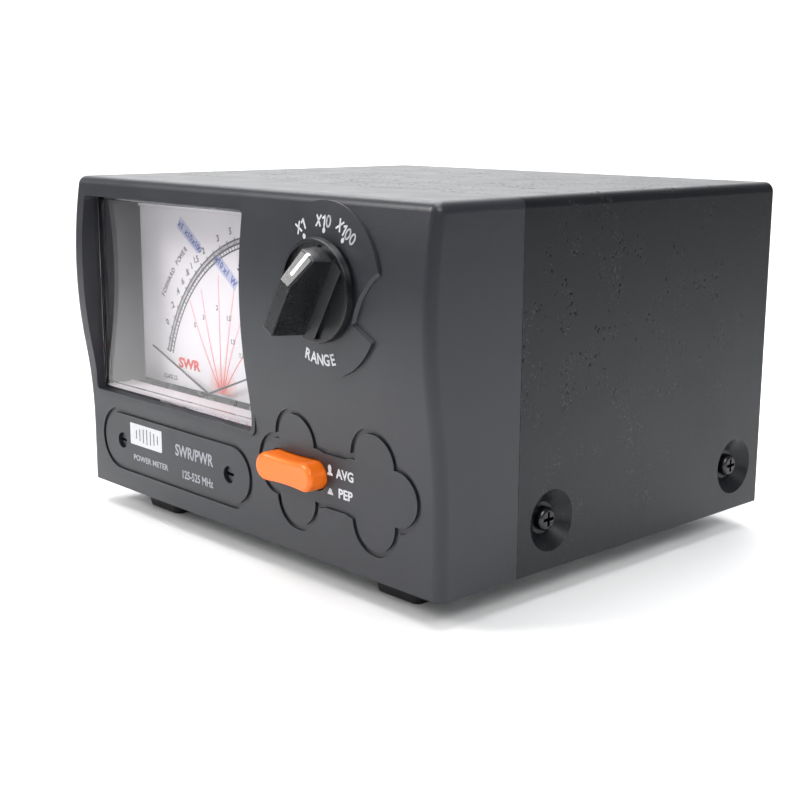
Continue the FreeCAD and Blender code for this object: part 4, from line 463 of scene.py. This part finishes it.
FINISHES = {
    # the bezel's lighter edges and seam line come from the edge mask: painted highlight, with some rubbed
    # wear
    "bezel_plastic": moulding("bezel_plastic_look", (0.018, 0.0195, 0.0245), 0.4, 0.14, 1500.0, 0.00003, 0.2),
    "cover_paint": cover_paint("cover_paint_look"),
    "zinc_sheet": metal("zinc_sheet_look", (0.62, 0.63, 0.62), 0.38),
    "dark_screw": metal("dark_screw_look", (0.06, 0.06, 0.065), 0.32, 700.0),
    "bright_screw": metal("bright_screw_look", (0.66, 0.66, 0.64), 0.28, 700.0),
    "knob_plastic": moulding("knob_plastic_look", (0.004, 0.005, 0.0065), 0.3, 0.2, 2200.0, 0.000012, 0.2),
    "white_inlay": moulding("white_inlay_look", (0.88, 0.89, 0.86), 0.35, 0.05, 1500.0, 0.000006, 0.0),
    # the cap's edges are painted a lighter orange by the edge mask: painted highlight, with a little rubbed
    # wear
    "orange_cap": moulding("orange_cap_look", (0.96, 0.18, 0.009), 0.34, 0.06, 1900.0, 0.000012, 0.3,
                           (1.0, 0.36, 0.12)),
    "white_plastic": moulding("white_plastic_look", (0.72, 0.68, 0.69), 0.4, 0.05),
    "black_plastic": moulding("black_plastic_look", (0.03, 0.031, 0.033), 0.33, 0.2),
    "clear_plastic": clear_cover("clear_plastic_look"),
    "dial_paint": moulding("dial_paint_look", DIAL_WHITE, 0.55, 0.03, 2500.0, 0.000004, 0.0),
    "plated_steel": metal("plated_steel_look", (0.52, 0.52, 0.5), 0.3),
    "magnet": metal("magnet_look", (0.16, 0.16, 0.17), 0.4),
    "brass_fitting": metal("brass_fitting_look", (0.78, 0.56, 0.22), 0.25),
    "spring_bronze": metal("spring_bronze_look", (0.72, 0.45, 0.2), 0.3),
    "copper_coil": winding("copper_coil_look"),
    "needle_paint": moulding("needle_paint_look", (0.012, 0.012, 0.013), 0.45, 0.1),
    "circuit_board": circuit_lacquer("circuit_board_look"),
    "capacitor_sleeve": moulding("capacitor_sleeve_look", (0.02, 0.03, 0.09), 0.3, 0.1),
    "trimmer_blue": moulding("trimmer_blue_look", (0.02, 0.09, 0.42), 0.35, 0.1),
    "lamp_resin": moulding("lamp_resin_look", (0.9, 0.87, 0.72), 0.15, 0.05),
    "cast_box": metal("cast_box_look", (0.6, 0.6, 0.6), 0.48, 500.0, 0.00002),
    "bright_nickel": metal("bright_nickel_look", (0.78, 0.76, 0.71), 0.2, 1200.0, 0.000004, 0.3, True),
    "cable_jacket": moulding("cable_jacket_look", (0.015, 0.015, 0.016), 0.5, 0.15),
    "foot_rubber": moulding("foot_rubber_look", (0.009, 0.009, 0.0105), 0.66, 0.2, 1400.0, 0.00003, 0.3,
                            sheen=0.05),
}


def dress_frame():
    """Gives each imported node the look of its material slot."""
    for entry in frame["record"]["subparts"]:
        node = frame["nodes"][entry["node"]]
        look = FINISHES[entry["material_slot"]]
        if not node.material_slots:
            node.data.materials.append(look)
        for slot in node.material_slots:
            slot.material = look


# ------------------------------------------------------------------ printed pieces
def finish_piece(name, bm, material, body):
    """Makes an object of a draft mesh, and gives it a look, a body to ride on and a slot."""
    mesh = bpy.data.meshes.new(name)
    bm.to_mesh(mesh)
    bm.free()
    piece = bpy.data.objects.new(name, mesh)
    bpy.context.scene.collection.objects.link(piece)
    mesh.materials.append(material)
    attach(piece, body)
    return piece


def surface_frame(node, x, z):
    """Matrix on the front of a node at a place in X and Z (mm), upright and facing outwards."""
    obj = frame["nodes"][node]
    _, point, normal, _ = obj.ray_cast(Vector((x * MM, -0.2, z * MM)), Vector((0, 1, 0)))
    if normal.y > 0:
        normal = -normal
    across = Vector((1, 0, 0))
    across = (across - normal * across.dot(normal)).normalized()
    up = normal.cross(across)
    turn = Matrix((across, up, normal)).transposed().to_4x4()
    return Matrix.Translation(point + normal * INK) @ turn


def flat_frame(x, z):
    """Matrix on the dial at a place in X and Z (mm), upright and facing forwards."""
    turn = Matrix(((1, 0, 0), (0, 0, -1), (0, 1, 0))).to_4x4()
    return Matrix.Translation((x * MM, DIAL_Y - INK, z * MM)) @ turn


CAP_SHARE = 0.7            # a capital's height as a share of the type size


def lettering(name, items, material, body):
    """Lettering as one piece. Each item is text, matrix, capital height, width share, roll and weight."""
    whole = bmesh.new()
    for text, matrix, height, narrow, roll, weight in items:
        curve = bpy.data.curves.new("draft", "FONT")
        curve.body = text
        curve.align_x = "CENTER"
        curve.size = height * MM / CAP_SHARE
        curve.offset = weight * MM
        curve.extrude = INK / 2
        curve.resolution_u = 3
        draft = bpy.data.objects.new("draft", curve)
        bpy.context.scene.collection.objects.link(draft)
        bpy.context.view_layer.update()
        shape = bpy.data.meshes.new_from_object(draft)
        centre = Matrix.Translation((0, -height * MM / 2, 0))
        spread = Matrix.Diagonal((narrow, 1, 1, 1))
        shape.transform(matrix @ Matrix.Rotation(math.radians(roll), 4, "Z") @ spread @ centre)
        whole.from_mesh(shape)
        bpy.data.objects.remove(draft)
        bpy.data.curves.remove(curve)
        bpy.data.meshes.remove(shape)
    return finish_piece(name, whole, material, body)


def add_outline(bm, points, y_front, thick=INK):
    """A thin flat shape on a plane of constant Y, from its outline in X and Z (mm)."""
    front = [bm.verts.new((x * MM, y_front - thick, z * MM)) for x, z in points]
    back = [bm.verts.new((x * MM, y_front, z * MM)) for x, z in points]
    bm.faces.new(front)
    bm.faces.new(list(reversed(back)))
    count = len(points)
    for i in range(count):
        j = (i + 1) % count
        bm.faces.new((front[j], front[i], back[i], back[j]))


def add_ribbon(bm, points, width, y_front, taper=None):
    """A thin line of even width through points; taper is the width at its far end."""
    left, right = [], []
    last = len(points) - 1
    for i, (x, z) in enumerate(points):
        a, b = points[max(i - 1, 0)], points[min(i + 1, last)]
        dx, dz = b[0] - a[0], b[1] - a[1]
        size = math.hypot(dx, dz)
        half = (width + (taper - width) * i / last if taper is not None else width) / 2
        left.append((x - dz / size * half, z + dx / size * half))
        right.append((x + dz / size * half, z - dx / size * half))
    for i in range(last):
        add_outline(bm, [left[i], left[i + 1], right[i + 1], right[i]], y_front)


def arc_points(cx, cz, r, start, end, steps):
    """Points along an arc, between two angles in degrees."""
    angles = [math.radians(start + (end - start) * i / steps) for i in range(steps + 1)]
    return [(cx + r * math.cos(a), cz + r * math.sin(a)) for a in angles]


def add_print(bm, place, outline, lift=INK):
    """A flat printed shape on a panel, from its outline (mm) in the panel's own frame."""
    bm.faces.new([bm.verts.new(place @ Vector((x * MM, y * MM, lift))) for x, y in outline])


# ------------------------------------------------------------------ legends on the case
# each numeral's width as a share of its height, and its pen lines
STROKES = {
    "X": (0.6, (((0, 0), (1, 1)), ((0, 1), (1, 0)))),
    "1": (0.34, (((0, 0.74), (0.9, 1), (0.9, 0)),)),
    "0": (0.55, (tuple((0.5 + 0.5 * math.cos(math.radians(a)), 0.5 + 0.5 * math.sin(math.radians(a)))
                       for a in range(0, 361, 20)),)),
}


def stroke_word(bm, text, place, height, weight):
    """Narrow numerals drawn with a round-ended pen, centred on a place on the panel."""
    gap = 0.26             # between letters, as a share of their height
    pen_end = 0.6          # how far the pen runs on past a line's end
    wide = sum(STROKES[c][0] + gap for c in text) - gap
    start = -wide / 2
    for letter in text:
        share, lines = STROKES[letter]
        for line in lines:
            points = [((start + x * share) * height, (y - 0.5) * height) for x, y in line]
            for (x0, y0), (x1, y1) in zip(points, points[1:]):
                size = math.hypot(x1 - x0, y1 - y0)
                ux, uy = (x1 - x0) / size * weight / 2, (y1 - y0) / size * weight / 2
                ax, ay = x0 - ux * pen_end, y0 - uy * pen_end
                bx, by = x1 + ux * pen_end, y1 + uy * pen_end
                add_print(bm, place, [(ax - uy, ay + ux), (ax + uy, ay - ux),
                                      (bx + uy, by - ux), (bx - uy, by + ux)])
        start += share + gap


RANGE_NUMBERS = (("X1", -29.7, 15.25), ("X10", 0, 14.85), ("X100", 30.9, 15.1))
RANGE_NUMBER_HIGH = 2.3
RANGE_STROKE = 0.46
RANGE_WORD_R = 15.3
RANGE_MARK_R = 12.8


def around_knob(turn, radius, shift=0.0):
    """Matrix on the front at a turn clockwise from the top of the knob, with its top outwards."""
    angle = math.radians(90 - turn)
    x, z = KNOB_X + shift + radius * math.cos(angle), KNOB_Z + radius * math.sin(angle)
    return surface_frame("front_bezel", x, z) @ Matrix.Rotation(math.radians(-turn), 4, "Z")


def knob_legend():
    """Range numbers, their marks and the word under the knob."""
    numbers = bmesh.new()
    for text, turn, radius in RANGE_NUMBERS:
        stroke_word(numbers, text, around_knob(turn, radius), RANGE_NUMBER_HIGH, RANGE_STROKE)
    finish_piece("range_numbers", numbers, INK_WHITE, "case")
    items = []
    for i, letter in enumerate("RANGE"):
        turn = (i - 2) * 8.0 - 2
        angle = math.radians(-90 + turn)
        x, z = KNOB_X + RANGE_WORD_R * math.cos(angle), KNOB_Z + RANGE_WORD_R * math.sin(angle)
        items.append((letter, surface_frame("front_bezel", x, z), 2.5, 0.85, turn, 0.09))
    lettering("range_legend", items, INK_WHITE, "case")
    marks = bmesh.new()
    around = [2 * math.pi * i / 20 for i in range(20)]
    drop = [(0.5 * math.cos(a), (0.75 if math.sin(a) > 0 else 0.55) * math.sin(a)) for a in around]
    for turn in (-30, 0, 30):
        add_print(marks, around_knob(turn, RANGE_MARK_R, 0.4), drop)
    finish_piece("range_marks", marks, INK_WHITE, "case")


def mode_legend():
    """The push-button's two words, each with an icon of the button out or in."""
    z_out, z_in = 22.15 + CASE_FLOOR, 17.6 + CASE_FLOOR
    items = [("AVG", surface_frame("front_bezel", 39.5, z_out), 2.2, 0.95, 0, 0.09),
             ("PEP", surface_frame("front_bezel", 39.5, z_in), 2.15, 1.05, 0, 0.09)]
    lettering("mode_legend", items, INK_WHITE, "case")
    icons = bmesh.new()
    for z, stem in ((z_out, 1.0), (z_in, 0.0)):
        place = surface_frame("front_bezel", 34.3, z + 0.2)
        base = [(-1.0, -1.15), (1.0, -1.15), (0.8, -0.5), (-0.8, -0.5)]
        half_turn = [math.pi * i / 10 for i in range(11)]
        dome = [(0.62 * math.cos(a), -0.5 + stem + 0.85 * math.sin(a)) for a in half_turn]
        post = [(-0.42, -0.5), (0.42, -0.5), (0.62, -0.5 + stem), (-0.62, -0.5 + stem)]
        for shape in (base, dome) + ((post,) if stem else ()):
            add_print(icons, place, shape)
    finish_piece("mode_icons", icons, INK_WHITE, "case")


PANEL_HALF_WIDE = 7.6
PANEL_HALF_HIGH = 3.0
PANEL_CORNER_R = 0.4
BAR_HALF_HIGHS = (1.2, 1.6, 1.9, 2.1, 1.9, 1.6, 1.2)
BAR_PITCH = 1.7
BAR_WIDE = 0.4
FIRST_BAR = -4.6


def plate_legend():
    """Words on the lower plate, and a plain white block with seven bars."""
    z = CASE_FLOOR
    items = [("SWR/PWR", surface_frame("front_bezel", -20.0, 15.6 + z), 3.0, 0.86, 0, 0.09),
             ("125-525 MHz", surface_frame("front_bezel", -18.7, 9.6 + z), 2.1, 0.84, 0, 0.07),
             ("POWER METER", surface_frame("front_bezel", -40.3, 9.8 + z), 1.5, 1.15, 0, 0.05)]
    lettering("plate_legend", items, INK_SOFT, "case")
    panel = bmesh.new()
    place = surface_frame("front_bezel", -42.2, 16.3 + z)
    w, h = PANEL_HALF_WIDE - PANEL_CORNER_R, PANEL_HALF_HIGH - PANEL_CORNER_R
    outline = []
    for cx, cy, start in ((w, h, 0), (-w, h, 90), (-w, -h, 180), (w, -h, 270)):
        outline += arc_points(cx, cy, PANEL_CORNER_R, start, start + 90, 4)
    add_print(panel, place, outline, INK / 2)
    finish_piece("plate_panel", panel, INK_WHITE, "case")
    bars = bmesh.new()
    for i, high in enumerate(BAR_HALF_HIGHS):
        left = FIRST_BAR + i * BAR_PITCH - BAR_WIDE / 2
        right = left + BAR_WIDE
        add_print(bars, place, [(left, -high), (right, -high), (right, high), (left, high)], 1.5 * INK)
    finish_piece("plate_bars", bars, INK_GREY, "case")


def rear_legend():
    """Lettering beside the sockets, facing backwards."""
    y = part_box("rear_panel")[1].y + INK / 2
    turn = Matrix(((-1, 0, 0), (0, 0, 1), (0, 1, 0))).to_4x4()
    rows = (("TX", -27.0, 66.0, 3.0), ("ANT", 27.0, 66.0, 3.0), ("DC 13.8V", -57.0, 58.0, 2.0),
            ("50 OHM   200W MAX", 0.0, 26.0, 2.2))
    items = [(text, Matrix.Translation((x * MM, y, z * MM)) @ turn, size, 0.9, 0, 0.04)
             for text, x, z, size in rows]
    lettering("rear_legend", items, INK_WHITE, "case")


# ------------------------------------------------------------------ dial artwork
SCALE_OFFSET = 19.04       # each scale's centre, from the middle of the meter
SCALE_R = 47.2
SCALE_Z = 23.24 + CASE_FLOOR
TICK_STEP = 0.8            # degrees
NUMBER_R = 51.1
WORD_R = 56.0
WORD_MIDDLE = 139.9
LETTER_STEP = 1.48         # degrees
SCALE_START = 163.5
SCALE_END = {1: 95.0, -1: 122.0}
SCALE_NUMBERS = (("0", 155.0), (".2", 148.7), (".4", 143.3), (".6", 139.1), (".8", 135.1), ("1", 131.9),
                 ("1.5", 128.7), ("2", 123.8), ("3", 115.3), ("5", 108.7), ("10", 101.6))


def on_scale(side, r, angle):
    """A point round one scale's centre; angles are for the left-hand scale and mirrored for the other."""
    a = math.radians(angle)
    return METER_X + side * (SCALE_OFFSET + r * math.cos(a)), SCALE_Z + r * math.sin(a)


def dial_scales():
    """The two curved scales: three lines each, with ticks across them."""
    ink = bmesh.new()
    for side in (1, -1):
        length = SCALE_START - SCALE_END[side]
        for r, width in ((SCALE_R - 1.2, 0.42), (SCALE_R, 0.5), (SCALE_R + 1.2, 0.42)):
            points = [on_scale(side, r, SCALE_START - length * i / 60) for i in range(61)]
            add_ribbon(ink, points, width, DIAL_Y)
        for i in range(int(length / TICK_STEP) + 1):
            angle = SCALE_START - TICK_STEP * i
            long = i % 5 == 0
            a = on_scale(side, SCALE_R - (1.2 if i % 2 else 0.0), angle)
            b = on_scale(side, SCALE_R + (1.9 if long else 1.2), angle)
            add_ribbon(ink, [a, b], 0.36 if long else 0.24, DIAL_Y)
    finish_piece("dial_scales", ink, INK_GREY, "case")


def dial_numbers():
    """Numbers and words round the scales, range multipliers on pale bands, and small print."""
    black, blue = [], []
    for side in (1, -1):
        for text, angle in SCALE_NUMBERS:
            if angle > SCALE_END[side] + 5:
                x, z = on_scale(side, NUMBER_R, angle)
                black.append((text, flat_frame(x, z), 1.7, 0.85, side * (angle - 90) * 0.5, 0.06))
        word = "FORWARD POWER" if side > 0 else "REFLECTED POWER"
        for i, letter in enumerate(word):
            steps_on = i - (len(word) - 1) / 2
            angle = WORD_MIDDLE - side * steps_on * LETTER_STEP
            x, z = on_scale(side, WORD_R, angle)
            black.append((letter, flat_frame(x, z), 1.45, 0.9, side * (angle - 90), 0.04))
    for text, x, z, high, turn in (("x1", -44.4, 71.8, 1.8, -36), ("x10", -41.0, 69.4, 1.8, -36),
                                   ("x100", -37.4, 66.8, 1.7, -36), ("x10", -27.4, 63.3, 1.8, -37),
                                   ("x1", -24.4, 61.0, 1.8, -37), ("W", -21.4, 58.7, 1.9, -37)):
        blue.append((text, flat_frame(x, z + CASE_FLOOR), high, 0.95, turn, 0.1))
    bands = bmesh.new()
    for ends in (((-45.6, 72.6), (-36.4, 66.0)), ((-29.0, 64.4), (-20.0, 57.6))):
        points = [(x, z + CASE_FLOOR) for x, z in ends]
        add_ribbon(bands, points, 3.4, DIAL_Y, 3.0)
    finish_piece("dial_bands", bands, INK_PALE_BLUE, "case")
    black.append(("CLASS 2.5", flat_frame(METER_X - 26.5, 29.6 + CASE_FLOOR), 1.2, 0.9, 0, 0.03))
    black.append(("50 OHM", flat_frame(METER_X + 27.5, 29.6 + CASE_FLOOR), 1.2, 0.9, 0, 0.03))
    lettering("dial_numbers", black, INK_BLACK, "case")
    lettering("dial_multipliers", blue, INK_BLUE, "case")
    lettering("dial_swr_word", [("SWR", flat_frame(METER_X - 17.4, 34.3 + CASE_FLOOR), 2.6, 1.25, 0, 0.16)],
              INK_RED, "case")


# each line's start and end from the fan's foot in X, its tip's height, its bow and its number
FAN_LINES = ((-1.6, -14.3, 51.9, -0.7, "5"), (-1.4, -8.9, 55.4, -0.5, "3"), (-0.7, -1.0, 59.9, 0.0, "2"),
             (0.1, 5.9, 56.8, -0.2, "1.5"), (0.5, 8.4, 48.4, -0.6, "1.3"), (0.9, 13.4, 44.0, -0.6, "1.1"))
FAN_STEPS = 14
FAN_NUMBER_STEP = 10       # where along its line each number stands
WASH_R = 9.0


def dial_fan():
    """Standing-wave lines that spread from the crossing at the foot of the dial."""
    ink = bmesh.new()
    digits = []
    for foot, dx, z_tip, bow, text in FAN_LINES:
        points = []
        for i in range(FAN_STEPS + 1):
            t = i / FAN_STEPS
            points.append((FAN_FOOT[0] + foot + (dx - foot) * t + bow * math.sin(math.pi * t),
                           FAN_FOOT[1] + (z_tip + CASE_FLOOR - FAN_FOOT[1]) * t))
        add_ribbon(ink, points, 0.42, DIAL_Y, 0.17)
        x, z = points[FAN_NUMBER_STEP]
        digits.append((text, flat_frame(x - 0.9, z), 1.3, 0.85, 0, 0.05))
    finish_piece("dial_fan", ink, INK_FAN, "case")
    wash = bmesh.new()
    half_disc = arc_points(FAN_FOOT[0] - 0.4, FAN_FOOT[1] - 1.2, WASH_R, 0, 180, 36)
    add_outline(wash, half_disc, DIAL_Y, INK / 2)
    finish_piece("dial_wash", wash, fan_wash("dial_wash_red"), "case")
    lettering("dial_fan_numbers", digits, INK_BLACK, "case")


# ------------------------------------------------------------------ return spring
def return_spring():
    """Wound spring behind the push-button, built at one length; it does not shorten as the button goes in."""
    low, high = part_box("mode_spring")
    turns, steps, sides = 6, 24, 8
    wire = 0.2 * MM
    radius = (high.x - low.x) / 2 - wire
    middle = ((low.x + high.x) / 2, (low.z + high.z) / 2)
    length = high.y - low.y - 2 * wire
    bm = bmesh.new()
    rings = []
    for i in range(turns * steps + 1):
        angle = 2 * math.pi * i / steps
        y = low.y + wire + length * i / (turns * steps)
        outward = Vector((math.cos(angle), 0, math.sin(angle)))
        centre = Vector((middle[0], y, middle[1])) + outward * radius
        around = [2 * math.pi * k / sides for k in range(sides)]
        ring = [outward * math.cos(a) + Vector((0, math.sin(a), 0)) for a in around]
        rings.append([bm.verts.new(centre + offset * wire) for offset in ring])
    for a, b in zip(rings, rings[1:]):
        for k in range(sides):
            j = (k + 1) % sides
            bm.faces.new((a[k], b[k], b[j], a[j]))
    bm.faces.new(rings[0])
    bm.faces.new(list(reversed(rings[-1])))
    spring = finish_piece("return_spring", bm, FINISHES["spring_bronze"], "case")
    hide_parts("mode_spring")
    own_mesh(spring)


# ------------------------------------------------------------------ studio
def set_stage():
    """Paper floor that curves up into a backdrop behind the object."""
    half_width, sweep_r, flat_reach, front_reach, top = 3.0, 0.4, 1.0, 2.5, 2.4
    bm = bmesh.new()
    rows = [(-front_reach, 0.0)]
    for i in range(13):
        t = i / 12
        angle = math.radians(90 * max(0.0, (t - 0.5) * 2))
        reach = flat_reach * min(t * 2, 1.0) + sweep_r * math.sin(angle)
        rise = sweep_r * (1 - math.cos(angle))
        rows.append((reach, rise))
    rows.append((flat_reach + sweep_r, top))
    away = math.radians(STAGE_TURN)
    direction = Vector((-math.sin(away), math.cos(away), 0))
    side = Vector((direction.y, -direction.x, 0))
    lines = [[bm.verts.new(direction * reach + side * s * half_width + Vector((0, 0, rise))) for s in (-1, 1)]
             for reach, rise in rows]
    for a, b in zip(lines, lines[1:]):
        bm.faces.new((a[0], a[1], b[1], b[0]))
    mesh = bpy.data.meshes.new("studio_floor")
    bm.to_mesh(mesh)
    bm.free()
    for face in mesh.polygons:
        face.use_smooth = True
    floor = bpy.data.objects.new("studio_floor", mesh)
    bpy.context.scene.collection.objects.link(floor)
    material, tree, shader = new_material("studio_paper")
    paper = noise(tree, object_place(tree), 12.0)
    tone = mixed(tree, paper, (0.86, 0.86, 0.87, 1), (0.88, 0.88, 0.88, 1))
    tree.links.new(tone, shader.inputs["Base Color"])
    shader.inputs["Roughness"].default_value = 0.85
    mesh.materials.append(material)


def softbox(name, place, aim, size, power, color=(1, 1, 1), spread=180):
    """Square or oblong light at a place (m), turned to a point; the spread is in degrees."""
    data = bpy.data.lights.new(name, "AREA")
    data.shape = "RECTANGLE"
    data.size, data.size_y = size
    data.energy = power
    data.color = color
    data.spread = math.radians(spread)
    light = bpy.data.objects.new(name, data)
    bpy.context.scene.collection.objects.link(light)
    light.location = place
    light.rotation_euler = (Vector(aim) - Vector(place)).to_track_quat("-Z", "Y").to_euler()


def set_lights():
    """Dim sky, a light overhead, one at each side of the camera, and one for the backdrop."""
    world = bpy.data.worlds.new("studio")
    bpy.context.scene.world = world
    world.use_nodes = True
    sky = world.node_tree.nodes["Background"]
    sky.inputs["Color"].default_value = (0.93, 0.96, 1.0, 1)
    sky.inputs["Strength"].default_value = 0.2
    softbox("softbox_top", (-0.02, 0.0, 0.95), (0, 0, 0), (0.7, 0.7), 1.9, spread=75)
    softbox("softbox_front", (-0.62, -0.85, 0.7), (0.02, -0.04, 0.02), (0.4, 0.4), 0.8,
            (1.0, 0.98, 0.98), 45)
    softbox("softbox_right", (0.7, -0.3, 0.7), (0.12, 0.02, 0), (0.4, 0.4), 0.5, spread=50)
    softbox("softbox_back", (-0.7, 0.5, 1.2), (-0.95, 0.9, 0.15), (1.2, 0.8), 26)
    bpy.context.scene.view_settings.view_transform = "Standard"


set_camera()
set_stage()
set_lights()
dress_frame()
knob_legend()
mode_legend()
plate_legend()
rear_legend()
dial_scales()
dial_numbers()
dial_fan()
return_spring()
